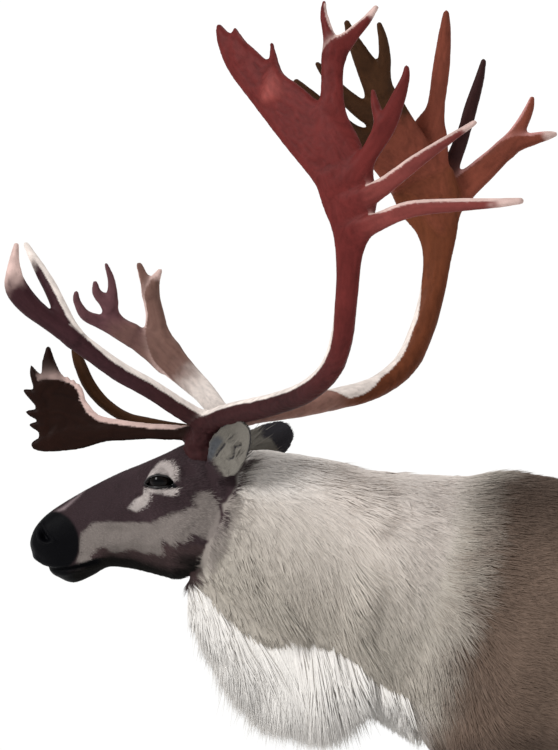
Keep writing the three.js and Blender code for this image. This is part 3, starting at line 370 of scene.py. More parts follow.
RIGHT_LOW_FRONT = [
    (232, 346, 1768, 44), (190, 316, 1810, 34), (144, 282, 1836, 24), (112, 248, 1872, 18),
    (78, 222, 1912, 11), (54, 206, 1938, 6),
]
RIGHT_LOW_FORK = [(204, 312, 1856, 20), (156, 278, 1890, 17), (118, 255, 1928, 12), (88, 233, 1970, 5)]
RIGHT_BEZ = [
    (-52, 80, 1328, 18), (-93, 112, 1371, 20), (-135, 134, 1406, 24), (-172, 148, 1440, 29),
    (-192, 155, 1476, 24), (-198, 158, 1514, 17), (-204, 156, 1550, 15), (-196, 152, 1578, 9),
    (-187, 149, 1594, 5),
]
RIGHT_BEZ_FORK = [(-208, 154, 1556, 12), (-217, 151, 1582, 9), (-225, 146, 1605, 5)]
RIGHT_BEZ_LOW = [
    (-172, 147, 1436, 28), (-228, 148, 1470, 21), (-262, 146, 1494, 17), (-276, 138, 1521, 14),
    (-271, 130, 1549, 10), (-272, 124, 1578, 7), (-280, 118, 1606, 4),
]
RIGHT_BEZ_SPUR = [(-276, 134, 1530, 12), (-297, 126, 1552, 9), (-301, 120, 1572, 5)]
RIGHT_BEZ_FRONT = [
    (-240, 147, 1478, 18), (-290, 138, 1499, 13), (-320, 128, 1513, 10), (-334, 120, 1537, 7),
    (-335, 114, 1554, 5),
]
RIGHT_BROW = [
    (-60, 62, 1306, 12), (-110, 62, 1308, 11), (-186, 62, 1321, 10), (-230, 60, 1331, 10),
    (-268, 56, 1356, 11), (-294, 50, 1387, 12), (-308, 44, 1418, 12), (-316, 38, 1443, 10),
    (-320, 35, 1460, 6),
]

# Half thickness of beam, palms, tines and blade, the least half width, the burr's place, the margin of the
# grid round an antler, the width and length of its grain, and how softly colours meet at a fork
BEAM_THICK = 20
PALM_THICK = 13
TINE_THICK = 9
BLADE_THICK = 6
THINNEST_TINE = 2.5
BURR_PLACE = (-60, 1296)
ANTLER_MARGIN = 13.0
ANTLER_GRAIN = (2.4, 26)
ROOT_BLEND = 3.5

# Face markings as outlines in the side view
PALE_CHEEK = [
    (-302, 1068), (-289, 1090), (-287, 1127), (-265, 1146), (-236, 1148), (-199, 1144), (-153, 1143),
    (-137, 1159), (-120, 1166), (-97, 1164), (-90, 1180), (-78, 1176), (-76, 1198), (-64, 1204), (-46, 1202),
    (-36, 1186), (-22, 1160), (-30, 1131), (-51, 1114), (-79, 1127), (-88, 1114), (-107, 1111), (-124, 1104),
    (-135, 1117), (-139, 1091), (-150, 1085), (-193, 1098), (-232, 1090), (-252, 1097), (-272, 1083),
    (-284, 1066), (-298, 1060),
]
PALE_LID = [(-166, 1218), (-153, 1244), (-143, 1257), (-121, 1257), (-110, 1247), (-108, 1220), (-138, 1228)]
# Outline of a painted highlight on the nose's bridge
BRIDGE_HIGHLIGHT_OUTLINE = [(-326, 1173), (-288, 1205), (-300, 1188), (-322, 1166), (-350, 1160), (-366, 1152)]
PALE_TEAR = [
    (-167, 1211), (-103, 1210), (-110, 1194), (-131, 1199), (-156, 1202), (-156, 1188), (-164, 1177),
    (-184, 1166), (-199, 1172), (-184, 1188), (-168, 1196),
]
DARK_EYE = [
    (-170, 1213), (-158, 1229), (-140, 1237), (-121, 1233), (-101, 1212), (-112, 1208), (-138, 1207),
    (-162, 1209),
]
BLACK_JAW = [
    (-345, 1052), (-335, 1030), (-296, 1026), (-262, 1036), (-180, 1034), (-110, 1030), (-120, 1050),
    (-173, 1068), (-206, 1080), (-269, 1082), (-286, 1064), (-306, 1058),
]
JOWL = [
    (3, 1203), (-23, 1183), (-19, 1157), (-33, 1130), (-57, 1103), (-74, 1086), (-84, 1050), (-70, 1046),
    (-40, 1072), (-12, 1114), (2, 1157),
]
# Where the face's dark hair ends and the neck's pale hair begins, from the throat up to the crown
FACE_EDGE = [
    (-128, 1010), (-84, 1040), (-70, 1058), (-31, 1097), (-1, 1164), (5, 1219), (14, 1256), (-4, 1276),
    (-30, 1330),
]
# Edges of the coat's tiers on the neck, where longer tips stand out over the next tier
TIERS = [
    [(-5, 1123), (8, 1081), (35, 1066), (68, 1030), (97, 998), (138, 968), (154, 947)],
    [(213, 1110), (193, 1053), (217, 987), (239, 935), (257, 909)],
    [(57, 1281), (119, 1269), (163, 1245), (204, 1241), (215, 1209)],
]
MANE_EDGE = [
    (-103, 1040), (-69, 1031), (-46, 996), (-13, 971), (25, 940), (80, 938), (149, 940), (174, 925),
    (216, 913), (240, 892), (300, 850),
]
# Offset from a tier's edge to the roots of the hair that stands out there, backwards and upwards, and how
# far from those roots the hair still stands out
TIER_ROOT = (14, -30)
TIER_REACH = 26

# Middle and half size of the bare nose in the side view
NOSE_CENTRE = (-345, 1108)
NOSE_HALF = (54, 56)

# Where the markings begin: off the middle of the face, the dark jaw, the crown's painted light against the
# shadow of ears and antlers, the dark flank and the pale hair over the hooves
FACE_SIDE = (20, 34)
JAW_LEVEL = 1112
CROWN_LIGHT_LEVELS = (1180, 1235)
FLANK_LEVEL = 820
SOCK_LEVEL = 112

# Regions: the mane's hind end, where the trunk's smoothing ends at the tail, the tail's root, lower end
# and half width, the legs' top and foremost place, and where fore legs give way to hind legs
MANE_END = 330
TAIL_START = (1440, 1460)
TAIL_ROOT = (1448, 1462)
TAIL_LOW = (880, 900)
TAIL_HALF = 52
LEG_TOP = 700
LEG_FRONT = 300
LEG_SPLIT = 900

# Seeds of the noises, each with the few numbers after it: edges of the regions, markings, the white hair,
# the hair's swirl, the face's unevenness, the antlers' grain, burr and colour, and the rays of the iris
EDGE_SEED = 71
MARKING_SEED = 3
WHITE_SEED = 90
SWIRL_SEED = 41
FACE_SEED = 31
GRAIN_SEED = 50
BURR_SEED = 54
HORN_TONE_SEED = 56
VEIN_SEED = 58
HORN_EDGE_SEED = 62
RAY_SEED = 61


def srgb(red, green, blue):
    """A display colour of 0 to 255 as linear light."""
    levels = [channel / 255 for channel in (red, green, blue)]
    return np.array([((v + 0.055) / 1.055) ** 2.4 if v > 0.04045 else v / 12.92 for v in levels])


# Colours of the coat, and how much darker the skin under it is
FACE_DARK = srgb(60, 47, 50)
FACE_GREY = srgb(134, 125, 120)
LID_PALE = srgb(188, 178, 174)
BLACK_SKIN = srgb(5, 5, 8)
JAW_BLACK = srgb(15, 13, 11)
JAW_BROWN = srgb(76, 60, 60)
# Painted highlight on the nose's bridge
JOWL_GREY = srgb(156, 147, 140)
BRIDGE_HIGHLIGHT_TONE = srgb(146, 130, 132)
NECK_TOP = srgb(218, 208, 200)
NECK_LOW = srgb(182, 174, 163)
MANE_WHITE = srgb(240, 236, 231)
BODY_BROWN = srgb(110, 92, 80)
BODY_DARK = srgb(82, 68, 60)
BELLY = srgb(148, 136, 124)
RUMP_WHITE = srgb(226, 220, 212)
LEG_BROWN = srgb(70, 57, 51)
SOCK_PALE = srgb(196, 186, 174)
EAR_GREY = srgb(128, 123, 115)
EAR_BACK = srgb(52, 50, 54)
EAR_FOLD = srgb(92, 94, 98)
UNDERCOAT_TONE = 0.9

# Colours of eyes, lid rims, hooves and floor
EYE_DARK = srgb(8, 6, 6)
IRIS_BROWN = srgb(14, 9, 7)
PUPIL_BLACK = srgb(2, 2, 3)
RIM_DARK = srgb(8, 7, 8)
RIM_PALE = srgb(26, 22, 22)
HOOF_DARK = srgb(24, 21, 20)
HOOF_PALE = srgb(62, 54, 48)
FLOOR_LOW = (0.91, 0.91, 0.905)
FLOOR_HIGH = (0.94, 0.94, 0.935)

# Colours of the antlers
PLUM = srgb(58, 31, 32)
PLUM_DEEP = srgb(58, 33, 37)
# Painted highlight at the base of the near palm's front tine
BLUSH_HIGHLIGHT = srgb(160, 80, 74)
WINE_LIGHT = srgb(124, 60, 56)
DUSK = srgb(102, 68, 72)
DARK_TINE = srgb(58, 34, 33)
WINE = srgb(101, 39, 37)
SIENNA = srgb(106, 57, 36)
RUST = srgb(124, 65, 50)
UMBER = srgb(66, 41, 24)
DARK_HORN = srgb(30, 12, 6)
TAUPE = srgb(118, 88, 79)
# Painted highlight on the far beam's low stretch
MAUVE_HIGHLIGHT = srgb(146, 108, 97)
# PALE_BONE and PINK_BONE colour worn tips and the far bez's base, and with ROSE the painted highlight strips
PALE_BONE = srgb(236, 224, 216)
PINK_BONE = srgb(214, 184, 176)
ROSE = srgb(196, 140, 134)

# The left eye's solid lines the tables' layout up with the frame
eye_low, eye_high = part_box("eye_left")
eye_place = np.array((eye_low + eye_high) / 2) * 1000
SHIFT = eye_place - np.array([EYE_CENTRE[0], -EYE_CENTRE[1], EYE_CENTRE[2]])


def into_frame(points):
    """Millimetres of the tables to metres of the frame."""
    return (np.asarray(points, float) + SHIFT) / 1000


def from_frame(points):
    """Metres of the frame to millimetres of the tables."""
    return np.asarray(points, float) * 1000 - SHIFT


# Numbers and fields
def smooth_step(value, low, high):
    """Nought below a low value, one above a high one, and smooth between them."""
    t = np.clip((value - low) / (high - low), 0, 1)
    return t * t * (3 - 2 * t)


def unit(vectors):
    return vectors / np.maximum(np.linalg.norm(vectors, axis=-1, keepdims=True), 1e-9)


def mix(a, b, share):
    """From one row of numbers to another, or between one for each place, by each place's share."""
    a, b = np.asarray(a, float), np.asarray(b, float)
    return a + (b - a) * share[:, None]


def lattice(cells, seed):
    """A repeatable value between 0 and 1 for each whole-numbered cell."""
    h = (cells[..., 0] * 73856093) ^ (cells[..., 1] * 19349663) ^ (cells[..., 2] * 83492791)
    h ^= seed * 2654435761
    h = (h ^ (h >> 13)) * 1274126177
    return ((h ^ (h >> 16)) & 0xFFFFFF) / 0xFFFFFF


def noise(points, size, seed=0):
    """Smooth noise between -1 and 1 with cells of one size."""
    p = np.asarray(points, float) / size
    base = np.floor(p).astype(np.int64)
    t = p - base
    t = t * t * (3 - 2 * t)
    total = 0.0
    for corner in np.ndindex(2, 2, 2):
        weight = np.prod(np.where(np.array(corner) == 1, t, 1 - t), axis=-1)
        total = total + weight * lattice(base + np.array(corner), seed)
    return 2 * total - 1


def refine(rows, per_span):
    """Rows of numbers as a smooth run through all of them."""
    rows = np.array(rows, float)
    last = len(rows) - 1
    result = []
    for k in range(last):
        a, b, c, d = rows[max(k - 1, 0)], rows[k], rows[k + 1], rows[min(k + 2, last)]
        for j in range(per_span):
            t = j / per_span
            cubic = (2 * a - 5 * b + 4 * c - d) * t * t + (3 * b - a - 3 * c + d) * t ** 3
            result.append(0.5 * (2 * b + (c - a) * t + cubic))
    result.append(rows[last])
    return np.array(result)


def outline_distance(x, z, outline):
    """Distance to a closed outline in the side view, negative inside it."""
    closed = [*outline, outline[0]]
    inside = np.zeros(len(x), bool)
    for (ax, az), (bx, bz) in zip(closed[:-1], closed[1:]):
        if az != bz:
            inside ^= ((az > z) != (bz > z)) & (x < (bx - ax) * (z - az) / (bz - az) + ax)
    nearest = line_distance(x, z, closed)
    return np.where(inside, -nearest, nearest)


def line_distance(x, z, line):
    """Distance to an open line in the side view."""
    nearest = np.full(len(x), np.inf)
    for (ax, az), (bx, bz) in zip(line[:-1], line[1:]):
        ex, ez = bx - ax, bz - az
        t = np.clip(((x - ax) * ex + (z - az) * ez) / (ex * ex + ez * ez), 0, 1)
        nearest = np.minimum(nearest, np.hypot(x - ax - t * ex, z - az - t * ez))
    return nearest


def ahead_of_neck(x, z):
    """Distance in front of the edge between face and neck."""
    xs, zs = zip(*FACE_EDGE)
    return (np.interp(z, zs, xs) - x) * 0.87


def ahead_of(cut, x, z):
    """Distance in front of a cutting plane, towards the nose."""
    x_top, z_top, x_low, z_low = cut
    length = math.hypot(x_top - x_low, z_top - z_low)
    return ((z - z_low) * (x_top - x_low) - (x - x_low) * (z_top - z_low)) / length


def tier_distance(x, z):
    """Distance to the nearest line of roots whose hair stands out as the edge of a tier."""
    return np.minimum.reduce([line_distance(x - TIER_ROOT[0], z - TIER_ROOT[1], tier) for tier in TIERS])


# Meshes
def body_ring(row, sides, grow):
    """One section of the body: half an oval or a squarer form above its widest level, and one below it."""
    x_top, z_top, x_low, z_low, half, mid, square_top, square_low, y_mid = row
    top = np.array([x_top, y_mid, z_top])
    low = np.array([x_low, y_mid, z_low])
    centre = top + (low - top) * mid
    up = unit(top - low)
    angle = turns(sides)
    c, s = np.cos(angle), np.sin(angle)
    power = 2 / np.where(c >= 0, square_top, square_low)
    reach = np.where(c >= 0, np.linalg.norm(centre - top), np.linalg.norm(centre - low)) + grow
    rise = np.sign(c) * np.abs(c) ** power * np.maximum(reach, THINNEST)
    out = np.sign(s) * np.abs(s) ** power * max(half + grow, THINNEST)
    return centre + up * rise[:, None] + np.array([0, 1, 0]) * out[:, None]


def loft(rings):
    """One closed surface from rings, as points and faces, its faces pointing out."""
    rings = np.asarray(rings)
    count, sides = rings.shape[:2]
    k = np.arange(sides)
    start = (np.arange(count - 1) * sides)[:, None]
    a, b = start + k, start + (k + 1) % sides
    quads = np.stack([a, b, b + sides, a + sides], -1).reshape(-1, 4).tolist()
    faces = quads + [k[::-1].tolist(), ((count - 1) * sides + k).tolist()]
    points = rings.reshape(-1, 3)
    first, middle = rings[0].mean(0), rings[count // 2]
    spin = np.cross(middle[0] - middle.mean(0), middle[1] - middle.mean(0))
    if np.dot(spin, middle.mean(0) - first) < 0:
        faces = [face[::-1] for face in faces]
    return points, faces


def body_loft(rows, sides, grow):
    """The form through a run of stations, grown outwards by some millimetres."""
    return loft([body_ring(row, sides, grow) for row in refine(rows, BODY_STEPS)])


def leg_rows(leg):
    """A leg's stations on its own side, moved forwards or back by its step."""
    rows = np.array(FRONT_LEG_ROWS if leg.startswith("front") else HIND_LEG_ROWS, float)
    middle = (rows[:, 1] + rows[:, 3]) / 2
    forwards = np.clip((STEP_TOP - middle) / STEP_TOP, 0, 1) * STEP[leg]
    rows[:, 0] += forwards
    rows[:, 2] += forwards
    rows[:, 8] *= -1 if leg.endswith("left") else 1
    return rows


LEGS = {leg: leg_rows(leg) for leg in STEP}


def mirrored(point, side):
    """A place given for the side of +Y, on the side asked for."""
    return np.array([point[0], side * point[1], point[2]], float)


def turns(sides, start=0.0):
    """Evenly spaced angles once round."""
    return 2 * math.pi * (np.arange(sides) + start) / sides


def ear_frame(side):
    """An ear's root and its directions: along it, out of its hollow, and across it."""
    root = mirrored(EAR_ROOT, side)
    axis = unit(np.array(EAR_TIP_LEFT if side < 0 else EAR_TIP_RIGHT, float) - root)
    facing = np.array(EAR_FACING_LEFT if side < 0 else EAR_FACING_RIGHT, float)
    front = unit(facing - axis * np.dot(facing, axis))
    return root, axis, front, np.cross(axis, front)


def ear_width(t):
    """Half width of the ear along it, as a share of its widest."""
    rounded = np.sqrt(np.maximum(1 - ((t - 0.38) / 0.66) ** 2, 0.02))
    return np.where(t < 0.3, 0.5 + 0.5 * np.maximum(t, 0) / 0.3, rounded)


def ear_loft(side):
    """A leaf with a hollow front, its sections crescents from edge to edge."""
    root, axis, front, across = ear_frame(side)
    u = np.linspace(-1, 1, EAR_POINTS)
    rings = []
    for t in np.linspace(EAR_START, 1.0, EAR_STATIONS):
        wide = float(ear_width(t))
        hollow = float(smooth_step(t, 0.06, 0.36)) * EAR_CUP_DEPTH * wide
        back = EAR_CUP_DEPTH * wide * 0.9
        middle = root + axis * EAR_LENGTH * t
        half = (EAR_HALF_WIDTH - EAR_DEPTH) * wide
        outer = -back * (1 - u * u) - EAR_EDGE + EAR_DEPTH * 0.5
        inner = (-back + EAR_WALL + (back - hollow * 0.9) * 0.5) * (1 - u * u) + EAR_EDGE - EAR_DEPTH * 0.5
        ring = [middle + across * half * a + front * d for a, d in zip(u, outer)]
        ring += [middle + across * half * a * 0.98 + front * d for a, d in zip(u[::-1], inner[::-1])]
        rings.append(ring)
    return loft(rings)


def joined(parts):
    """Several closed surfaces as one list of points and faces."""
    points, faces, start = [], [], 0
    for part_points, part_faces in parts:
        points.append(part_points)
        faces += [[k + start for k in face] for face in part_faces]
        start += len(part_points)
    return np.concatenate(points), faces


def new_object(name, points, faces):
    """An object in the scene; points are in metres of the frame."""
    mesh = bpy.data.meshes.new(name)
    if isinstance(faces, np.ndarray):
        sides = faces.shape[1]
        mesh.vertices.add(len(points))
        mesh.vertices.foreach_set("co", np.asarray(points, np.float32).ravel())
        mesh.loops.add(faces.size)
        mesh.loops.foreach_set("vertex_index", faces.ravel().astype(np.int32))
        mesh.polygons.add(len(faces))
        mesh.polygons.foreach_set("loop_start", np.arange(0, faces.size, sides, dtype=np.int32))
        mesh.update(calc_edges=True)
    else:
        mesh.from_pydata([tuple(p) for p in points], [], faces)
        mesh.update()
    thing = bpy.data.objects.new(name, mesh)
    bpy.context.scene.collection.objects.link(thing)
    return thing


def smooth_object(name, part):
    """A smoothly shaded object from points in the tables' millimetres and their faces."""
    thing = new_object(name, into_frame(part[0]), part[1])
    shade_smooth(thing)
    return thing


def applied(thing):
    """The object with its modifiers applied."""
    graph = bpy.context.evaluated_depsgraph_get()
    mesh = bpy.data.meshes.new_from_object(thing.evaluated_get(graph))
    old = thing.data
    thing.modifiers.clear()
    thing.data = mesh
    bpy.data.meshes.remove(old)
    return thing


def remeshed(name, part, voxel):
    """One closed surface round all of a part's surfaces."""
    thing = new_object(name, into_frame(part[0]), part[1])
    cubes = thing.modifiers.new("voxels", "REMESH")
    cubes.mode = "VOXEL"
    cubes.voxel_size = voxel
    return applied(thing)


def read(items, field, width, kind):
    """One field of all of a mesh's items, as rows of numbers."""
    flat = np.empty(len(items) * width, kind)
    items.foreach_get(field, flat)
    return flat.reshape(-1, width)


def points_of(thing):
    return read(thing.data.vertices, "co", 3, np.float32).astype(float)


def normals_of(thing):
    return read(thing.data.vertex_normals, "vector", 3, np.float32).astype(float)


def set_points(thing, points):
    thing.data.vertices.foreach_set("co", points.astype(np.float32).ravel())
    thing.data.update()


def relax(thing, rounds, weight):
    """Moves each point towards the mean of its neighbours by its weight, in each round."""
    points = points_of(thing)
    a, b = read(thing.data.edges, "vertices", 2, np.int32).T
    count = len(points)
    degree = np.maximum(np.bincount(a, minlength=count) + np.bincount(b, minlength=count), 1)
    share = np.broadcast_to(weight, count)[:, None]
    for _ in range(rounds):
        total = np.stack([np.bincount(a, points[b, k], count) + np.bincount(b, points[a, k], count)
                          for k in range(3)], 1)
        points = points + share * (total / degree[:, None] - points)
    set_points(thing, points)


def shade_smooth(thing):
    thing.data.polygons.foreach_set("use_smooth", np.ones(len(thing.data.polygons), bool))


def set_colour(thing, name, colours):
    rgba = np.ones((len(colours), 4), np.float32)
    rgba[:, :3] = np.clip(colours, 0, 1)
    layer = thing.data.color_attributes.new(name, "FLOAT_COLOR", "POINT")
    layer.data.foreach_set("color", rgba.ravel())


def set_value(thing, name, values):
    layer = thing.data.attributes.new(name, "FLOAT", "POINT")
    layer.data.foreach_set("value", np.asarray(values, np.float32))


# Regions of the body at points of the tables' layout
def line_at(line, x):
    """Level of a line of the side view at places along the animal."""
    xs, zs = zip(*line)
    return np.interp(x, xs, zs)


LEG_AXES = {
    leg: np.stack([(rows[:, 0] + rows[:, 2]) / 2, rows[:, 8], (rows[:, 1] + rows[:, 3]) / 2], 1)
    for leg, rows in LEGS.items()
}


def ear_share(p):
    """How far along an ear a point lies, or -1 off the ears, how far towards its hollow, and across it."""
    along = np.full(len(p), -1.0)
    lifted = np.zeros(len(p))
    across_by = np.zeros(len(p))
    for side in (-1, 1):
        root, axis, front, across = ear_frame(side)
        local = p - root
        t = local @ axis / EAR_LENGTH
        wide = ear_width(np.clip(t, 0, 1))
        u = np.clip(local @ across / (EAR_HALF_WIDTH * wide), -1.2, 1.2)
        shell = local @ front + 0.9 * EAR_CUP_DEPTH * wide * (1 - u * u)
        on = (t > 0.02) & (t < 1.15) & (np.abs(u) < 1.18)
        on &= (np.abs(shell - 4) < EAR_NEAR) & (p[:, 1] * side > EAR_INNERMOST)
        along = np.where(on, t, along)
        lifted = np.where(on, shell, lifted)
        across_by = np.where(on, u, across_by)
    return along, lifted, across_by


def bell(offset, width):
    """One where an offset is nought, falling off softly on both sides."""
    return np.exp(-(offset / width) ** 2)


def ear_creases(along, across):
    """Depth of the dark creases inside an ear, and height of the ridges beside them, each up to one."""
    middle = 0.14 + 0.10 * np.sin(along * 22)
    first = smooth_step(along, 0.22, 0.3) * smooth_step(0.7 - along, 0, 0.08)
    second = smooth_step(along, 0.12, 0.2) * smooth_step(0.46 - along, 0, 0.06)
    crease = bell(across - middle, 0.06) * first + bell(across + 0.42, 0.06) * second
    ridge = bell(across - middle + 0.2, 0.12) * first + bell(across - 0.52, 0.14) * second
    return crease, ridge


def regions(p):
    """Share of each point that belongs to the head, neck, mane, tail and legs; the rest is torso."""
    x, y, z = p.T
    head = smooth_step(ahead_of_neck(x, z) + 5 * noise(p, 16, EDGE_SEED), -7, 7)
    neck = (1 - head) * smooth_step(ahead_of(SHOULDER_CUT, x, z), -60, 40)
    ragged = 9 * noise(p, 24, EDGE_SEED + 1) + 7 * noise(p * [1, 1, 0.5], 9, EDGE_SEED + 2)
    below_edge = smooth_step(line_at(MANE_EDGE, x) + 2 + ragged - z, -6, 10)
    mane = (1 - head) * below_edge * smooth_step(MANE_END - x, 0, 60)
    tail = smooth_step(x, *TAIL_ROOT) * smooth_step(z, *TAIL_LOW) * smooth_step(TAIL_HALF - np.abs(y), 0, 6)
    leg = smooth_step(LEG_TOP - z, 0, 60) * (x > LEG_FRONT)
    return head, neck, mane, tail, leg


def face_colour(p, n, ragged):
    """The face's dark hair with its pale and black fields, and a painted highlight on the nose's bridge."""
    x, y, z = p.T

    def inside(outline, raggedness, soft, full=None):
        depth = -(outline_distance(x, z, outline) + ragged * raggedness)
        return smooth_step(depth, -soft, full or soft)

    side_on = smooth_step(np.abs(y), *FACE_SIDE)
    face = mix(FACE_DARK, FACE_DARK * 1.25, smooth_step(noise(p, 40, MARKING_SEED + 2), -0.2, 1))
    face = mix(face, JAW_BROWN, smooth_step(JAW_LEVEL - z + ragged, 0, 12) * smooth_step(x, -300, -250))
    face = mix(face, FACE_GREY, inside(PALE_CHEEK, 0.7, 3) * side_on)
    face = mix(face, JAW_BLACK, inside(BLACK_JAW, 0.4, 4))
    under_jaw = smooth_step(-n[:, 2], 0.35, 0.8) * smooth_step(x, -320, -280) * smooth_step(-60 - x, 0, 30)
    face = mix(face, JAW_BLACK, under_jaw)
    face = mix(face, JOWL_GREY, inside(JOWL, 0.6, 4) * side_on)
    face = mix(face, LID_PALE, inside(PALE_LID, 0.12, 2) * side_on)
    face = mix(face, LID_PALE, inside(PALE_TEAR, 0.12, 2) * side_on)
    # Painted highlight on the nose's bridge
    face = mix(face, BRIDGE_HIGHLIGHT_TONE, inside(BRIDGE_HIGHLIGHT_OUTLINE, 0.2, 3, 4))
    return mix(face, BLACK_SKIN, bare_share(p))


def neck_colour(p, ragged):
    """The neck's pale hair in faint bands, with painted light at the crown, and white below the mane's edge.
    """
    x, y, z = p.T
    colour = mix(NECK_LOW, NECK_TOP, smooth_step(z + 0.35 * x, 1060, 1330))
    bands = smooth_step(noise(np.stack([x * 0.8, y, z * 0.5], 1), 60, MARKING_SEED + 5), -0.3, 0.7)
    colour = colour * (0.95 + 0.08 * bands)[:, None]
    below_edge = line_at(MANE_EDGE, x) - z + ragged * 1.6
    colour = colour * (1 - 0.12 * smooth_step(70 + below_edge, 0, 60))[:, None]
    # Painted light: the crown is whitened against the shadow that ears and antlers cast on it
    crown = smooth_step(z, *CROWN_LIGHT_LEVELS) * smooth_step(170 - x, 0, 90)
    colour = mix(colour, MANE_WHITE, 0.5 * crown)
    return mix(colour, MANE_WHITE, smooth_step(below_edge, -3, 8))


def body_colour(p, n, ragged):
    """The trunk: dark along the back and low on the flank, pale at the shoulder, the belly and the rump."""
    x, y, z = p.T
    body = mix(BODY_BROWN, BODY_DARK, smooth_step(n[:, 2], 0.3, 0.9) * 0.7)
    body = mix(body, BODY_DARK, smooth_step(FLANK_LEVEL - z + ragged * 2, 0, 70) * 0.8)
    body = mix(body, BELLY, smooth_step(-n[:, 2], 0.45, 0.9) * smooth_step(x, 560, 640))
    saddle = smooth_step(noise(p, 120, MARKING_SEED + 7), -0.6, 0.8)
    body = body * (0.9 + 0.22 * saddle)[:, None]
    edge = ahead_of(SHOULDER_CUT, x, z) + 80 + ragged * 3 + 30 * noise(p, 70, MARKING_SEED + 9)
    body = mix(body, NECK_LOW * 0.92, smooth_step(edge, -60, 60) * smooth_step(z, 760, 860))
    rump = smooth_step(x - 1372 + ragged * 2 - 0.35 * np.abs(z - 990), 0, 26)
    return mix(body, RUMP_WHITE, rump * smooth_step(150 - np.abs(y) + ragged, 0, 20))


def limb_colour(p, n, ragged):
    """The legs, paler on their inner side and above the hooves."""
    _, y, z = p.T
    limb = LEG_BROWN * (0.95 + 0.2 * smooth_step(noise(p, 50, MARKING_SEED + 8), -1, 1))[:, None]
    inner = smooth_step(-n[:, 1] * np.sign(y), 0.2, 0.8) * smooth_step(z, 300, 420)
    limb = mix(limb, BELLY, inner * 0.7)
    return mix(limb, SOCK_PALE, smooth_step(SOCK_LEVEL - z + ragged, 0, 8))


def ear_colour(along, inside, across, ragged):
    """The ears: dark-tipped grey behind; grey inside with a fold, dark edges and painted shade in the
    creases.
    """
    behind = mix(EAR_GREY * 0.75, EAR_BACK, smooth_step(along + 0.012 * ragged, 0.6, 0.68))
    hollow = mix(EAR_GREY, EAR_FOLD, smooth_step(-across, 0.45, 0.6) * smooth_step(0.5 - along, 0, 0.1))
    crease, _ = ear_creases(along, across)
    # Painted shade: the creases inside the hollow are darkened
    hollow = mix(hollow, EAR_BACK, smooth_step(crease, 0.35, 0.8))
    hollow = mix(hollow, EAR_BACK, smooth_step(np.abs(across), 0.86, 0.97))
    return mix(behind, hollow, inside)


def markings(p, n):
    """Colour of the coat at points of the tables' layout, with ragged borders between the fields."""
    ragged = 5 * noise(p, 9, MARKING_SEED) + 6 * noise(p, 26, MARKING_SEED + 1)
    head, neck, mane, tail, leg = regions(p)
    colour = mix(body_colour(p, n, ragged), limb_colour(p, n, ragged), leg)
    colour = mix(colour, neck_colour(p, ragged), np.maximum(neck, mane))
    colour = mix(colour, face_colour(p, n, ragged), head)
    upper_side = smooth_step(n[:, 0] * 0.6 + n[:, 2], 0.5, 0.95)
    colour = mix(colour, mix(RUMP_WHITE, BODY_DARK, upper_side * 0.6), tail)
    along, lifted, across = ear_share(p)
    inside = smooth_step(lifted, 1, 5)
    start = 0.04 + 0.16 * (1 - inside)
    return mix(colour, ear_colour(along, inside, across, ragged), smooth_step(along - start, 0, 0.12))


def bare_share(p):
    """How bare and moist the skin is: the nose, the lips and the lids."""
    x, y, z = p.T
    nose = np.hypot((x - NOSE_CENTRE[0]) / NOSE_HALF[0], (z - NOSE_CENTRE[1]) / NOSE_HALF[1])
    nose = smooth_step(1.0 - nose, -0.06, 0.06) * (x < -290)
    chin = smooth_step(-310 - x, -12, 12) * smooth_step(1070 - z, 0, 10)
    lids = smooth_step(-outline_distance(x, z, DARK_EYE), -1.5, 1.5) * (np.abs(y) > 50)
    lips = smooth_step(7 - np.abs(z - line_at(MOUTH_LINE, x)), 0, 4) * smooth_step(-254 - x, 0, 10)
    return np.maximum.reduce([nose, chin, lids, lips])


# Skin
def build_body():
    """Neck, torso, legs and tail as one form, its joins smoothed, as a part in the tables' millimetres."""
    trunk = [body_loft(NECK_ROWS, NECK_SIDES, -NECK_DEPTH)]
    trunk.append(body_loft(TORSO_ROWS, TORSO_SIDES, -TORSO_DEPTH))
    trunk += [body_loft(rows, LEG_SIDES, -LEG_DEPTH) for rows in LEGS.values()]
    trunk.append(body_loft(TAIL_ROWS, TAIL_SIDES, -TAIL_DEPTH))
    body = remeshed("body_form", joined(trunk), BODY_VOXEL)
    x, _, z = from_frame(points_of(body)).T
    off_tail = 1 - smooth_step(x, *TAIL_START)
    relax(body, 16, 0.05 + 0.45 * smooth_step(z, 560, 800) * off_tail)
    joins = np.maximum(smooth_step(x, 940, 1040) * off_tail, smooth_step(640 - x, 0, 80))
    relax(body, 44, 0.5 * joins * smooth_step(z, 600, 720))
    shape_body(body)
    part = from_frame(points_of(body)), [list(polygon.vertices) for polygon in body.data.polygons]
    bpy.data.objects.remove(body)
    return part


def head_loft():
    """The head, lying deeper in its solid towards the neck, where the coat grows longer."""
    rings = []
    for row in refine(HEAD_ROWS, HEAD_STEPS):
        towards_neck = float(smooth_step(row[0], -70, 34))
        depth = HEAD_DEPTH + (HEAD_END_DEPTH - HEAD_DEPTH) * towards_neck
        rings.append(body_ring(row, HEAD_SIDES, -depth))
    return loft(rings)


def thin_out(skin):
    """Fewer triangles, most of them left on the head."""
    triangles = 2 * len(skin.data.polygons)
    if triangles <= SKIN_TRIANGLES:
        return
    behind_head = smooth_step(from_frame(points_of(skin))[:, 0], -40, 120)
    group = skin.vertex_groups.new(name="thin_out")
    weights = np.round(0.25 + 0.75 * behind_head, 2)
    for level in np.unique(weights):
        group.add(np.flatnonzero(weights == level).tolist(), float(level), "REPLACE")
    thin = skin.modifiers.new("thin_out", "DECIMATE")
    thin.ratio = SKIN_TRIANGLES / triangles
    thin.vertex_group = "thin_out"
    applied(skin)
    skin.vertex_groups.clear()


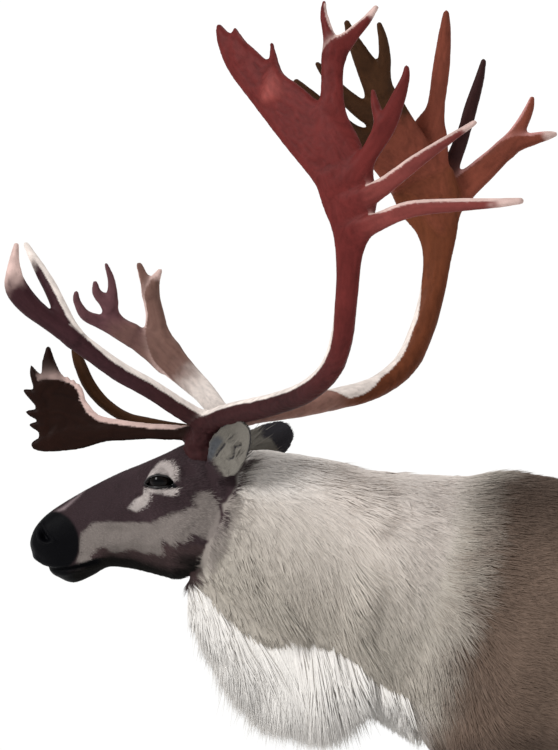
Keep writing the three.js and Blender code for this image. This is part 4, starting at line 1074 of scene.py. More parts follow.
def build_skin():
    """One skin of head, ears, neck, torso, tail and legs."""
    mane = body_loft(MANE_ROWS, MANE_SIDES, -MANE_DEPTH)
    parts = [build_body(), head_loft(), mane, ear_loft(-1), ear_loft(1)]
    skin = remeshed("skin", joined(parts), SKIN_VOXEL)
    relax(skin, 2, 0.5)
    p = from_frame(points_of(skin))
    seam = bell(ahead_of(HEAD_CUT, p[:, 0], p[:, 2]), 34) * (ear_share(p)[0] < 0)
    relax(skin, 24, 0.5 * seam * (p[:, 2] < 1300))
    shape_head(skin)
    thin_out(skin)
    shade_smooth(skin)
    return skin


# Forms of the body under the coat. Each row: how far it stands out, x and z of its middle, its half
# length and half height, and its lean.
MOUNDS = [
    (9, 455, 1010, 60, 130, 0.35),
    (8, 440, 820, 60, 80, -0.3),
    (-8, 600, 830, 50, 120, 0.2),
    (-12, 1085, 880, 60, 110, -0.2),
    (7, 1180, 1115, 50, 40, 0),
    (8, 1290, 860, 80, 110, 0),
    (-5, 1345, 1010, 50, 80, 0),
]


def shape_body(body):
    """Shoulder blade, upper arm, the hollows behind the elbow and before the thigh, hip bone and thigh."""
    p = from_frame(points_of(body))
    x, _, z = p.T
    move = np.zeros(len(p))
    for height, cx, cz, wide, tall, lean in MOUNDS:
        move += height * np.exp(-((x - cx - lean * (z - cz)) / wide) ** 2 - ((z - cz) / tall) ** 2)
    outwards = normals_of(body)
    p = p + outwards * (move * smooth_step(np.abs(outwards[:, 1]), 0.15, 0.6))[:, None]
    set_points(body, into_frame(p))


def eye_local(p):
    """Places relative to the eye on the same side: along it towards the ear, up, and outwards."""
    along, out, up = p[:, 0] - EYE_CENTRE[0], np.abs(p[:, 1]) - EYE_CENTRE[1], p[:, 2] - EYE_CENTRE[2]
    c, s = math.cos(LID_TILT), math.sin(LID_TILT)
    return c * along + s * up, -s * along + c * up, out


def lid_edge(a):
    """Upper and lower edge of the opening between the lids, at places along it."""
    arch = np.clip(1 - (a / LID_HALF_LENGTH) ** 2, 0, 1)
    return LID_UP * arch ** 0.75 - 1, -LID_DOWN * arch ** 0.35 - 1


# Hollows and swellings of the face, seen from the side. Each row: how far it stands out, x and z of its
# middle, its half length and half height, how far out it is full, and how softly it ends.
CHEEK = (4.0, -74, 1118, 62, 52, 1.1, 0.6)
TEMPLE = (-5.0, -86, 1240, 26, 22, 1, 1)
MUZZLE_HOLLOW = (-4.0, -240, 1128, 60, 22, 1, 1)


def face_forms(x, z):
    """Bone under the eye, the cheek muscle's edge, the hollow of the temple and the tear pit."""
    under_eye = 3.2 * bell(z - (1192 + 0.22 * (x + 138)), 13)
    move = under_eye * smooth_step(x, -240, -190) * smooth_step(-40 - x, 0, 50)
    for height, cx, cz, wide, tall, full, soft in (CHEEK, TEMPLE, MUZZLE_HOLLOW):
        move += height * smooth_step(full - np.hypot((x - cx) / wide, (z - cz) / tall), 0, soft)
    pit = np.hypot(((x + 178) + 0.6 * (z - 1196)) / 20, ((z - 1196) - 0.6 * (x + 178)) / 7)
    return move - 3.5 * smooth_step(1 - pit, 0, 1)


def muzzle_forms(x, y, z):
    """Nostrils, the mouth's line with lips above and below it, and the groove between the nostrils."""
    dx, dz = x - NOSTRIL_PLACE[0], z - NOSTRIL_PLACE[1]
    c, s = math.cos(NOSTRIL_TURN), math.sin(NOSTRIL_TURN)
    along, across = dx * c - dz * s, dx * s + dz * c
    comma = np.hypot(along / 17, (across - 0.02 * along ** 2) / 8)
    nostril_side = smooth_step(np.abs(y), 12, 20)
    move = (2.6 * bell(comma - 1.25, 0.22) - 11 * smooth_step(1 - comma, 0, 0.7)) * nostril_side
    off = z - line_at(MOUTH_LINE, x)
    lips = 2.6 * bell(off - 9, 5) + 2.2 * bell(off + 8, 5) - 5.0 * bell(off, 2.6)
    move += lips * smooth_step(-252 - x, 0, 14)
    return move - 2.5 * bell(y, 2.6) * smooth_step(-368 - x, 0, 10) * smooth_step(z, 1074, 1084)


def shape_lids(p):
    """Lays the lids over the eyeball and sinks the skin between them behind it."""
    a, b, out = eye_local(p)
    reach = a * a + b * b
    lid_radius = EYE_RADIUS + LID_THICKNESS
    dome = np.sqrt(np.maximum(lid_radius ** 2 - reach, 0))
    upper, lower = lid_edge(a)
    opening = np.minimum(upper - b, b - lower)
    brow = 3.5 * np.exp(-((b - 21) / 6) ** 2 - (a / 30) ** 2)
    soft = LID_BLEND
    blend = np.log(np.exp(np.clip(out / soft, -20, 20)) + np.exp(np.clip(dome / soft, -20, 20))) * soft
    raised = np.where(reach < lid_radius ** 2, blend, out) + brow
    sunk = np.sqrt(np.maximum(EYE_RADIUS ** 2 - reach, 0)) - LID_SINK
    inside = smooth_step(opening, -1.2, 1.2) * (np.abs(a) < LID_HALF_LENGTH)
    new_out = raised * (1 - inside) + sunk * inside
    area = (reach < LID_AREA ** 2) & (out > -35) & (np.abs(p[:, 1]) > 30)
    p[:, 1] = np.where(area, np.sign(p[:, 1]) * (EYE_CENTRE[1] + new_out), p[:, 1])


def shape_head(skin):
    """Lids, nostrils, mouth, lips, cheek bone and the ears' folds as moves of the skin."""
    p = from_frame(points_of(skin))
    normals = normals_of(skin)
    x, y, z = p.T
    side_on = smooth_step(np.abs(normals[:, 1]), 0.2, 0.6)
    move = face_forms(x, z) * side_on + muzzle_forms(x, y, z) + 0.5 * noise(p, 14, FACE_SEED) * side_on
    along, lifted, across = ear_share(p)
    crease, ridge = ear_creases(along, across)
    in_hollow = (along > 0.05) & (lifted > 2)
    on_head = (x < 30) & (along < 0.05)
    p = p + normals * (move * on_head + (2.2 * ridge - 2.4 * crease) * in_hollow)[:, None]
    shape_lids(p)
    set_points(skin, into_frame(p))


# Coat: directions that the hair lies in, before it is laid along the skin
LIE_FOREHEAD = (1, 0, 0.25)
LIE_JAW = (1, 0, -0.45)
LIE_THROAT = (0.45, 0, -0.9)
LIE_CREST = (1, 0, -0.3)
LIE_BACK = (1, 0, -0.22)
LIE_THIGH = (0.5, 0, -0.85)
LIE_CHEST = (0.4, 0, -0.9)
LIE_LEG = (0.12, 0, -1)
LIE_HANGING = (0.1, 0, -1)


def lie_of(p, n):
    """Direction that the coat lies in, along the skin."""
    x, y, z = p.T
    side = np.sign(y)
    none = np.zeros(len(p))
    head, neck, mane, tail, leg = regions(p)
    face = mix(LIE_FOREHEAD, LIE_JAW, smooth_step(1180 - z, -40, 60))
    throat = mix(LIE_THROAT, LIE_CREST, smooth_step(z + 0.3 * x, 1080, 1320))
    trunk = mix(LIE_BACK, LIE_THIGH, smooth_step(x, 1090, 1260) * smooth_step(1130 - z, 0, 200))
    trunk = mix(trunk, LIE_CHEST, smooth_step(560 - x, 0, 120) * smooth_step(1080 - z, 0, 200))
    lie = trunk + np.stack([none, 0.12 * side * n[:, 2], none], 1)
    ways = [(LIE_LEG, leg), (throat, neck), (LIE_HANGING, mane), (face, head), (LIE_HANGING, tail)]
    for way, share in ways:
        lie = mix(lie, way, share)
    along, _, _ = ear_share(p)
    for ear_side in (-1, 1):
        _, axis, _, _ = ear_frame(ear_side)
        lie = mix(lie, axis, smooth_step(along, 0.04, 0.2) * (side == ear_side))
    lie = lie + 0.16 * np.stack([noise(p, 60, SWIRL_SEED + k) for k in range(3)], 1)
    return unit(lie - n * np.sum(lie * n, 1, keepdims=True))


class Skin:
    """The skin's triangles, for places on it."""

    def __init__(self, thing):
        mesh = thing.data
        mesh.calc_loop_triangles()
        self.triangles = read(mesh.loop_triangles, "vertices", 3, np.int32)
        self.points = from_frame(points_of(thing))
        self.normals = normals_of(thing)
        corners = self.points[self.triangles]
        a, b, c = corners.transpose(1, 0, 2)
        self.centres = corners.mean(1)
        self.areas = 0.5 * np.linalg.norm(np.cross(b - a, c - a), axis=1)

    def scatter(self, density, count, rng):
        """Places and outward directions, spread by a density at each triangle."""
        weight = self.areas * density
        chosen = rng.choice(len(weight), size=count, p=weight / weight.sum())
        u, v = rng.random(count), rng.random(count)
        flip = u + v > 1
        u, v = np.where(flip, 1 - u, u), np.where(flip, 1 - v, v)
        share = np.stack([1 - u - v, u, v], 1)[:, :, None]
        corners = self.triangles[chosen]
        return (self.points[corners] * share).sum(1), unit((self.normals[corners] * share).sum(1))


# Plan of the unrolled coat, as shares of its side: its margin and height, the trunk's width, the mane's
# start, width and height, and the legs' start, spacing and width. Then the millimetres that fill it: the
# trunk's start and length, the mane's start and length and its lowest level and height, a leg's height.
TRUNK_AXIS = [(-390, 1110), (-150, 1150), (0, 1180), (300, 1040), (700, 950), (1450, 1000)]
PLAN_MARGIN = 0.02
PLAN_HEIGHT = 0.96
TRUNK_PLAN = 0.56
MANE_PLAN = (0.60, 0.14, 0.47, 0.49)
LEG_PLAN = (0.765, 0.055, 0.05)
TRUNK_SPAN = (-400, 1910)
MANE_SPAN = (-130, 480, 740, 360)
LEG_SPAN = 680
TUFT_PLAN = (0.0012, 0.0008, 0.003)


def unwrap(p):
    """Places on an unrolled plan of the skin: the trunk round its axis, the mane and each leg beside it."""
    x, y, z = p.T
    u = PLAN_MARGIN + TRUNK_PLAN * (np.arctan2(y, z - line_at(TRUNK_AXIS, x)) / (2 * math.pi) + 0.5)
    v = PLAN_MARGIN + PLAN_HEIGHT * (x - TRUNK_SPAN[0]) / TRUNK_SPAN[1]
    _, _, mane, _, leg = regions(p)
    hanging = (mane > 0.5) & (leg < 0.5)
    start, wide, tall, far_side = MANE_PLAN
    x_start, x_length, z_low, z_height = MANE_SPAN
    u = np.where(hanging, start + wide * (x - x_start) / x_length, u)
    v = np.where(hanging, PLAN_MARGIN + tall * (z - z_low) / z_height + far_side * (y > 0), v)
    leg_start, spacing, leg_wide = LEG_PLAN
    for k, line in enumerate(LEG_AXES.values()):
        cx = np.interp(z, line[::-1, 2], line[::-1, 0])
        cy = line[-1, 1]
        mine = (z < 660) & (np.abs(x - cx) < 130) & (y * cy > 0)
        around = np.arctan2(y - cy, x - cx) / (2 * math.pi) + 0.5
        u = np.where(mine, leg_start + spacing * k + leg_wide * around, u)
        v = np.where(mine, PLAN_MARGIN + PLAN_HEIGHT * z / LEG_SPAN, v)
    return np.clip(np.stack([u, v], 1), 0.005, 0.995)


def hair_paths(roots, normals, lies, lengths, lift, droop, steps, sway):
    """The middle line of each tuft, as its places at each step from root to tip."""
    side = unit(np.cross(lies, normals))
    path = []
    for t in np.linspace(0, 1, steps + 1):
        rise = lift * lengths * t * (1 - 0.45 * t) - ROOT_SINK * (1 - t)
        centre = roots + lies * (lengths * t)[:, None] + normals * rise[:, None]
        centre = centre + side * (sway * lengths * t * t)[:, None]
        path.append(centre + np.array([0, 0, -1.0]) * (droop * lengths * t * t)[:, None])
    return np.array(path)


def clumped(path, roots, clump):
    """The paths drawn towards the nearest leading tuft, more so towards their tips."""
    steps = len(path) - 1
    leaders = np.arange(0, len(roots), LEADER_EVERY)
    tree = KDTree(len(leaders))
    for k in leaders:
        tree.insert(roots[k], int(k))
    tree.balance()
    nearest = np.array([tree.find(root)[1] for root in roots])
    for k in range(1, steps + 1):
        path[k] = path[k] + (path[k][nearest] - path[k]) * clump * (k / steps) ** 1.3
    return path


def blade_faces(steps):
    """Triangles of one three-sided blade, and which of them lie on its under side."""
    pattern, lower = [[0, 2, 1]], [True]
    for k in range(steps - 1):
        for j in range(3):
            a, b = 3 * k + j, 3 * k + (j + 1) % 3
            pattern += [[a, b, b + 3], [a, b + 3, a + 3]]
            lower += [j == 0, j == 0]
    for j in range(3):
        pattern.append([3 * (steps - 1) + j, 3 * (steps - 1) + (j + 1) % 3, 3 * steps])
        lower.append(j == 0)
    return np.array(pattern)[:, ::-1], np.array(lower)


def tufts(name, roots, normals, path, widths, colours, tone, hangs):
    """A coat piece: each tuft is a closed three-sided blade that tapers to a tip along its path."""
    count, steps = len(roots), len(path) - 1
    rings, shading, beneath = [], [], []
    for k in range(steps):
        tangent = unit(path[k + 1] - path[k])
        across = unit(np.cross(tangent, normals))
        out = np.cross(across, tangent)
        half = (widths * 0.5 * (1 - k / steps) ** 0.6)[:, None]
        edge = across * half
        rings.append(np.stack([path[k] - edge, path[k] + edge, path[k] + out * half * 0.9], 1))
        shading.append(np.stack([out - TUFT_ROUND * across, out + TUFT_ROUND * across, out], 1))
        beneath.append(np.repeat(-out[:, None], 3, 1))
    points = np.concatenate(rings + [path[-1][:, None, :]], 1)
    shading = unit(np.concatenate(shading + [out[:, None, :]], 1))
    beneath = unit(np.concatenate(beneath + [-out[:, None, :]], 1))
    pattern, lower = blade_faces(steps)
    faces = (pattern[None] + (np.arange(count) * (3 * steps + 1))[:, None, None]).reshape(-1, 3)
    thing = smooth_object(name, (points.reshape(-1, 3), faces))
    corner_normals = np.where(lower[None, :, None, None], beneath[:, pattern], shading[:, pattern])
    thing.data.normals_split_custom_set(corner_normals.reshape(-1, 3).astype(np.float32))
    along = np.append(np.repeat(np.arange(steps), 3), steps) / steps
    root, tip, power = HANGING_FADE if hangs else LYING_FADE
    fade = root + (tip - root) * along ** power
    shades = colours[:, None, :] * tone[:, None, None] * fade[None, :, None]
    set_colour(thing, "Coat", shades.reshape(-1, 3))
    half_wide, rise, length = TUFT_PLAN
    across = np.array([-half_wide, half_wide, 0.0] * steps + [0.0])
    forward = length * along + np.array([0, 0, rise] * steps + [0.0])
    places = unwrap(roots)[:, None, :] + np.stack([across, forward], 1)[None]
    loops = read(thing.data.loops, "vertex_index", 1, np.int32)[:, 0]
    layer = thing.data.uv_layers.new(name="OFBake")
    layer.data.foreach_set("uv", places.reshape(-1, 2)[loops].astype(np.float32).ravel())
    return thing


def coat_of(name, skin, density, count, length, width, lift, droop, steps, seed, clump=0.0, vary=0.08,
            hangs=False):
    """Scatters one field of the coat; length, width and lift are numbers or functions of place."""
    rng = np.random.default_rng(SEED + seed)
    count = int(count * TUFT_SHARE)
    roots, normals = skin.scatter(density, count, rng)

    def at(value):
        return value(roots, normals) if callable(value) else np.full(count, float(value))

    colours = markings(roots, normals)
    if hangs:
        none = np.zeros(count)
        sideways = np.stack([none, 0.25 * np.sign(roots[:, 1]), none], 1)
        normals = unit(normals * [1, 1, 0.15] + sideways)
        colours = MANE_WHITE * (0.97 + 0.05 * noise(roots, 40, WHITE_SEED))[:, None]
    lies = lie_of(roots, normals)
    jitter = rng.normal(0, 0.12, (count, 3))
    lies = unit(lies + jitter - normals * np.sum(jitter * normals, 1, keepdims=True))
    lengths = at(length) * rng.uniform(0.75, 1.15, count)
    widths = at(width) * rng.uniform(0.8, 1.2, count) / math.sqrt(TUFT_SHARE)
    lifts = at(lift) * rng.uniform(0.6, 1.4, count)
    rng = np.random.default_rng(SEED + seed)
    path = hair_paths(roots, normals, lies, lengths, lifts, droop, steps, rng.normal(0, 0.10, count))
    if clump > 0:
        path = clumped(path, roots, clump)
    return tufts(name, roots, normals, path, widths, colours, 1 + rng.normal(0, vary, count), hangs)


# Lengths, widths and lifts of the hair by place; each takes the places and the outward directions
def face_length(p, n):
    x, _, z = p.T
    base = 5.5 + 4.5 * smooth_step(x, -330, -200) + 5 * smooth_step(x, -160, -60)
    jaw = 9 * smooth_step(1130 - z, 0, 70) * smooth_step(x, -170, -60)
    back = 9 * smooth_step(-ahead_of_neck(x, z), -40, 5)
    return base + jaw + back


def face_width(p, n):
    return 1.5 + 0.5 * smooth_step(p[:, 0], -200, -60)


def body_length(p, n):
    x, _, z = p.T
    chest = 22 * smooth_step(560 - x, 0, 160)
    return 30 + 8 * smooth_step(-n[:, 2], 0.2, 0.9) + chest - 8 * smooth_step(760 - z, 0, 80)


def leg_length(p, n):
    z = p[:, 2]
    return 9 + 12 * smooth_step(z, 250, 620) + 5 * smooth_step(110 - z, 0, 40)


def neck_length(p, n):
    x, y, z = p.T
    crest = smooth_step(n[:, 2], 0.4, 0.9)
    start = smooth_step(-ahead_of_neck(x, z), 0, 120)
    tier = smooth_step(TIER_REACH - tier_distance(x, z), 0, 16)
    free = (20 + 52 * start) * (1 - 0.25 * crest) + 18 * tier * start
    free = np.minimum(free, 22 + 0.9 * np.maximum(z - line_at(MANE_EDGE, x), 0))
    off_ear = np.linalg.norm(np.stack([x, np.abs(y), z], 1) - np.array(EAR_ROOT) - [24, 0, 20], axis=1)
    return np.minimum(free, 9 + 0.5 * np.maximum(off_ear - 40, 0))


def lock_length(p, n):
    return np.minimum(42, 0.8 * neck_length(p, n))


def neck_lift(p, n):
    return 0.13 + 0.2 * smooth_step(TIER_REACH - tier_distance(p[:, 0], p[:, 2]), 0, 16)


def mane_length(p, n):
    return np.clip(p[:, 2] - line_at(MANE_TIPS, p[:, 0]) - 6, 46, 190)


def ear_length(p, n):
    along, lifted, _ = ear_share(p)
    return 6 + 3 * smooth_step(lifted, 1, 5) * smooth_step(0.8 - along, 0, 0.3)


def build_coat(skin_thing):
    """The coat's pieces. Each row: share of the skin, tufts, length, width, lift, droop, steps and seed."""
    skin = Skin(skin_thing)
    x, y, z = skin.centres.T
    head, neck, mane, tail, leg = regions(skin.centres)
    along, _, _ = ear_share(skin.centres)
    ear = (along > 0.05) & (head + neck > 0.2)
    fine = 1 + 1.2 * smooth_step(-200 - x, 0, 100)
    face = head * (1 - bare_share(skin.centres)) * ~ear * fine
    torso = (1 - head) * (1 - leg) * (1 - tail) * (1 - np.maximum(neck, mane))
    sides = np.clip(neck - mane, 0, 1) * ~ear
    over_mane = smooth_step(20 - np.abs(z - line_at(MANE_EDGE, x) - 26), 0, 10)
    locks = 0.02 + smooth_step(9 - tier_distance(x, z), 0, 4) + 2 * over_mane
    left, right = y < 0, y >= 0
    front, back = x < BODY_MIDDLE, x >= BODY_MIDDLE
    rows = [
        ("face", face, 46000, face_length, face_width, 0.16, 0.0, 1, 1, 0, 0.13),
        ("ears", ear.astype(float), 9000, ear_length, 1.5, 0.18, 0.0, 1, 2, 0, 0.13),
        ("neck_left", sides * left, 19000, neck_length, 2.9, neck_lift, 0.05, 2, 3, 0.35),
        ("neck_right", sides * right, 19000, neck_length, 2.9, neck_lift, 0.05, 2, 4, 0.35),
        ("mane_left", mane * left, 11000, mane_length, 3.4, 0.10, 0.02, 2, 5, 0.5, 0.06, True),
        ("mane_right", mane * right, 11000, mane_length, 3.4, 0.10, 0.02, 2, 14, 0.5, 0.06, True),
        ("neck_locks", sides * locks, 3000, lock_length, 8, 0.26, 0.05, 2, 15, 0.2, 0.1),
        ("leg_front", leg * (x < LEG_SPLIT), 20000, leg_length, 2.0, 0.15, 0.0, 1, 6),
        ("leg_hind", leg * (x >= LEG_SPLIT), 20000, leg_length, 2.0, 0.15, 0.0, 1, 7),
        ("tail", tail, 2600, 38, 3.6, 0.2, 0.08, 3, 8, 0.4),
        ("body_left_front", torso * (left & front), 26000, body_length, 2.8, 0.2, 0.0, 1, 9),
        ("body_left_back", torso * (left & back), 26000, body_length, 2.8, 0.2, 0.0, 1, 10),
        ("body_right_front", torso * (right & front), 26000, body_length, 2.8, 0.2, 0.0, 1, 11),
        ("body_right_back", torso * (right & back), 26000, body_length, 2.8, 0.2, 0.0, 1, 12),
    ]
    return [coat_of(f"coat_{part}", skin, *row) for part, *row in rows]


# Antlers
@dataclass
class Branch:
    """One run of an antler: its line and thickness, its colours, and how softly it joins the rest.

    The colour changes from low to high over a span along it. A highlight strip is a painted highlight along
    one edge: the edge it follows, its width, where it starts and ends, and its colour.
    """

    points: list
    thick: float
    low: np.ndarray
    high: np.ndarray = None
    change: tuple = (0, 1)
    # Pale strips along one edge, painted highlights
    strips: tuple = ()
    tip: np.ndarray = None
    tip_length: float = 0
    blend: float = 12
    end_thick: float = None

    def __post_init__(self):
        self.high = self.low if self.high is None else self.high
        self.tip = self.high if self.tip is None else self.tip
        self.end_thick = self.end_thick or self.thick


Course = namedtuple("Course", "centres ways flats across halves thick along")


def antler_branches():
    """Both antlers' branches, the left one's and the right one's."""
    tine, palm = TINE_THICK, PALM_THICK
    # Each branch's pale strips along one edge are painted highlights
    left = [
        Branch(LEFT_STEM, BEAM_THICK, PLUM, WINE, (290, 640), [(1, 7, 60, 600, PALE_BONE)], end_thick=tine),
        Branch(LEFT_BROW, BLADE_THICK, DARK_HORN, strips=[(-1, 9, 30, 400, PINK_BONE)]),
        *[Branch(line, BLADE_THICK, DARK_HORN, blend=5) for line in LEFT_BROW_POINTS],
        Branch(LEFT_BEZ, palm, PLUM, PLUM_DEEP, (50, 200), [(-1, 8, 0, 330, PALE_BONE)], PINK_BONE, 90),
        Branch(LEFT_BEZ_FORK, palm, PLUM_DEEP, None, (0, 1), [(-1, 8, 0, 260, PALE_BONE)], PALE_BONE, 64),
        Branch(LEFT_FRONT, tine, WINE),
        Branch(LEFT_FRONT_FORK, tine, WINE),
        # The front tine's pink base is a painted highlight
        Branch(LEFT_FRONT_TINE, tine, BLUSH_HIGHLIGHT, WINE, (20, 60)),
        Branch(LEFT_TOP, tine, WINE, strips=[(1, 5, 240, 500, PINK_BONE)], tip=PINK_BONE, tip_length=24),
        Branch(LEFT_TOP_FORK, tine, WINE, strips=[(-1, 4, 20, 200, PINK_BONE)]),
        Branch(LEFT_INNER, tine, WINE),
        Branch(LEFT_INNER_FORK, tine, WINE),
        Branch(LEFT_BACK_HIGH, tine, WINE, WINE_LIGHT, (10, 80), [(1, 6, 50, 400, PINK_BONE)], PINK_BONE, 36),
        Branch(LEFT_BACK_LOW, tine, WINE, WINE_LIGHT, (10, 90), [(1, 6, 60, 500, PINK_BONE)], PINK_BONE, 60),
    ]
    # Painted highlights along the far beam's inner edge
    highlight_edges = [(1, 11, 300, 650, PALE_BONE), (1, 25, 290, 450, PALE_BONE)]
    right = [
        # The far beam's mauve low stretch is a painted highlight
        Branch(RIGHT_STEM, BEAM_THICK, MAUVE_HIGHLIGHT, SIENNA, (290, 350), highlight_edges, end_thick=tine),
        Branch(RIGHT_BROW, tine, UMBER),
        Branch(RIGHT_BEZ, palm, PALE_BONE, TAUPE, (70, 150), [(1, 6, 130, 420, PINK_BONE)], PINK_BONE, 20),
        Branch(RIGHT_BEZ_FORK, palm, TAUPE, strips=[(1, 5, 0, 100, PINK_BONE)]),
        Branch(RIGHT_BEZ_LOW, tine, TAUPE, DUSK, (30, 110)),
        Branch(RIGHT_BEZ_SPUR, tine, DUSK),
        Branch(RIGHT_BEZ_FRONT, tine, TAUPE, DUSK, (10, 60)),
        Branch(RIGHT_LOW_FRONT, tine, RUST, UMBER, (62, 95)),
        Branch(RIGHT_LOW_FORK, tine, RUST, UMBER, (0, 24)),
        Branch(RIGHT_FRONT, tine, RUST, UMBER, (102, 136)),
        Branch(RIGHT_FRONT_FORK, tine, UMBER),
        Branch(RIGHT_TOP, tine, RUST),
        Branch(RIGHT_REAR, tine, RUST, DARK_TINE, (20, 90)),
        Branch(RIGHT_BACK, tine, RUST, strips=[(1, 5, 40, 400, ROSE)], tip=PINK_BONE, tip_length=26),
        Branch(RIGHT_BACK_FORK, tine, RUST, strips=[(1, 5, 10, 200, ROSE)]),
    ]
    return left, right


def course_of(branch, side):
    """A branch's course: closely spaced places along it, directions, half sizes and length so far."""
    rows = refine([(*mirrored(place, side), place[3]) for place in branch.points], BRANCH_STEPS)
    ways = unit(np.gradient(rows[:, :3], axis=0))
    outward = np.array([0.0, 1.0, 0.0])
    flats = unit(outward - ways * (ways @ outward)[:, None])
    across = np.cross(ways, flats)
    halves = np.maximum(rows[:, 3], THINNEST_TINE)
    along = np.concatenate([[0], np.cumsum(np.linalg.norm(np.diff(rows[:, :3], axis=0), axis=1))])
    thinned = smooth_step(along, 0.55 * along[-1], 0.93 * along[-1])
    thick = np.minimum(halves, branch.thick + (branch.end_thick - branch.thick) * thinned)
    return Course(rows[:, :3], ways, flats, across, halves, thick, along)


def span_distance(x, y, z, course, k):
    """Distance to one short span of a branch, whose section is between an oval and a flat bar."""
    start, end = course.centres[k], course.centres[k + 1]
    length = np.linalg.norm(end - start)
    way = (end - start) / length
    rx, ry, rz = x - start[0], y - start[1], z - start[2]
    along = rx * way[0] + ry * way[1] + rz * way[2]
    share = np.clip(along / length, 0, 1)
    beyond = along - share * length
    ax, ay, az = course.across[k]
    fx, fy, fz = course.flats[k]
    u = np.abs(rx * ax + ry * ay + rz * az)
    v = rx * fx + ry * fy + rz * fz
    a = course.halves[k] + (course.halves[k + 1] - course.halves[k]) * share
    b = course.thick[k] + (course.thick[k + 1] - course.thick[k]) * share
    q = np.sqrt((u / a) ** 2 + (v / b) ** 2 + (beyond / b) ** 2) + 1e-6
    g = np.sqrt((u / (a * a)) ** 2 + (v / (b * b)) ** 2 + (beyond / (b * b)) ** 2) + 1e-6
    oval_distance = q * (q - 1) / g
    bar_distance = np.sqrt(np.maximum(u - (a - b), 0) ** 2 + v * v + beyond * beyond) - b
    return 0.5 * (oval_distance + bar_distance)


def branch_field(course, lines, reach):
    """A branch's distance on the part of the grid round it, with that part's slices."""
    centres, halves = course.centres, course.halves
    low = (centres - halves[:, None] - reach).min(0)
    high = (centres + halves[:, None] + reach).max(0)
    window = [np.searchsorted(line, (a, b)) for line, a, b in zip(lines, low, high)]
    slices = tuple(slice(a, b) for a, b in window)
    field = np.full([b - a for a, b in window], reach, np.float32)
    for k in range(len(centres) - 1):
        size = max(halves[k], halves[k + 1]) + reach
        near = np.minimum(centres[k], centres[k + 1]) - size
        far = np.maximum(centres[k], centres[k + 1]) + size
        box = [np.searchsorted(line[part], (a, b)) for line, part, a, b in zip(lines, slices, near, far)]
        inner = tuple(slice(a, b) for a, b in box)
        x, y, z = (line[part][cut] for line, part, cut in zip(lines, slices, inner))
        distance = span_distance(x[:, None, None], y[None, :, None], z[None, None, :], course, k)
        np.minimum(field[inner], distance, out=field[inner])
    return field, slices


def melted(a, b, blend):
    """The smaller of two distances, rounded where they are alike."""
    near = np.maximum(blend - np.abs(a - b), 0) / blend
    return np.minimum(a, b) - near * near * blend * 0.25


def surface_of(field, lines):
    """Points and four-sided faces of the surface where a field on a grid passes through zero."""
    inside = field < 0
    shape = tuple(n - 1 for n in field.shape)
    corners = np.array(list(np.ndindex(2, 2, 2)))
    count = np.zeros(shape, np.int8)
    for i, j, k in corners:
        count += inside[i:i + shape[0], j:j + shape[1], k:k + shape[2]]
    cells = np.argwhere((count > 0) & (count < 8))
    at = cells[:, None, :] + corners[None]
    values = field[at[..., 0], at[..., 1], at[..., 2]]
    total = np.zeros((len(cells), 3))
    crossings = np.zeros(len(cells))
    for a in range(8):
        for b in range(a + 1, 8):
            if np.abs(corners[a] - corners[b]).sum() != 1:
                continue
            crosses = (values[:, a] < 0) != (values[:, b] < 0)
            share = values[:, a] / np.where(crosses, values[:, a] - values[:, b], 1)
            place_at = corners[a] + share[:, None] * (corners[b] - corners[a])
            total += np.where(crosses[:, None], place_at, 0)
            crossings += crosses
    step = np.array([line[1] - line[0] for line in lines])
    points = np.array([line[0] for line in lines]) + (cells + total / crossings[:, None]) * step
    number = np.full(shape, -1, np.int32)
    number[tuple(cells.T)] = np.arange(len(cells))
    faces = []
    for axis in range(3):
        one, two = (axis + 1) % 3, (axis + 2) % 3
        low = np.take(inside, range(field.shape[axis] - 1), axis)
        high = np.take(inside, range(1, field.shape[axis]), axis)
        edges = np.argwhere(low != high)
        edges = edges[(edges[:, one] > 0) & (edges[:, two] > 0)]
        back_one, back_two = np.eye(3, dtype=int)[one], np.eye(3, dtype=int)[two]
        around = [edges, edges - back_one, edges - back_one - back_two, edges - back_two]
        quads = np.stack([number[tuple(cell.T)] for cell in around], 1)
        leaving = low[tuple(edges.T)]
        faces.append(np.where(leaving[:, None], quads, quads[:, ::-1]))
    return points, np.concatenate(faces)


def places_on_branch(p, course):
    """For each point: distance to a branch, place along it and across it, and its half width there."""
    centres, halves = course.centres, course.halves
    best = np.full(len(p), 1e3)
    along = np.zeros(len(p))
    across_by = np.zeros(len(p))
    half = np.ones(len(p))
    for k in range(len(centres) - 1):
        size = max(halves[k], halves[k + 1]) + 30
        middle = (centres[k] + centres[k + 1]) / 2
        mine = np.flatnonzero(np.abs(p - middle).max(1) < size + 10)
        distance = span_distance(*p[mine].T, course, k)
        closer = distance < best[mine]
        chosen = mine[closer]
        offset = p[chosen] - centres[k]
        best[chosen] = distance[closer]
        along[chosen] = course.along[k] + offset @ course.ways[k]
        across_by[chosen] = offset @ course.across[k]
        half[chosen] = halves[k]
    return best, along, across_by, half


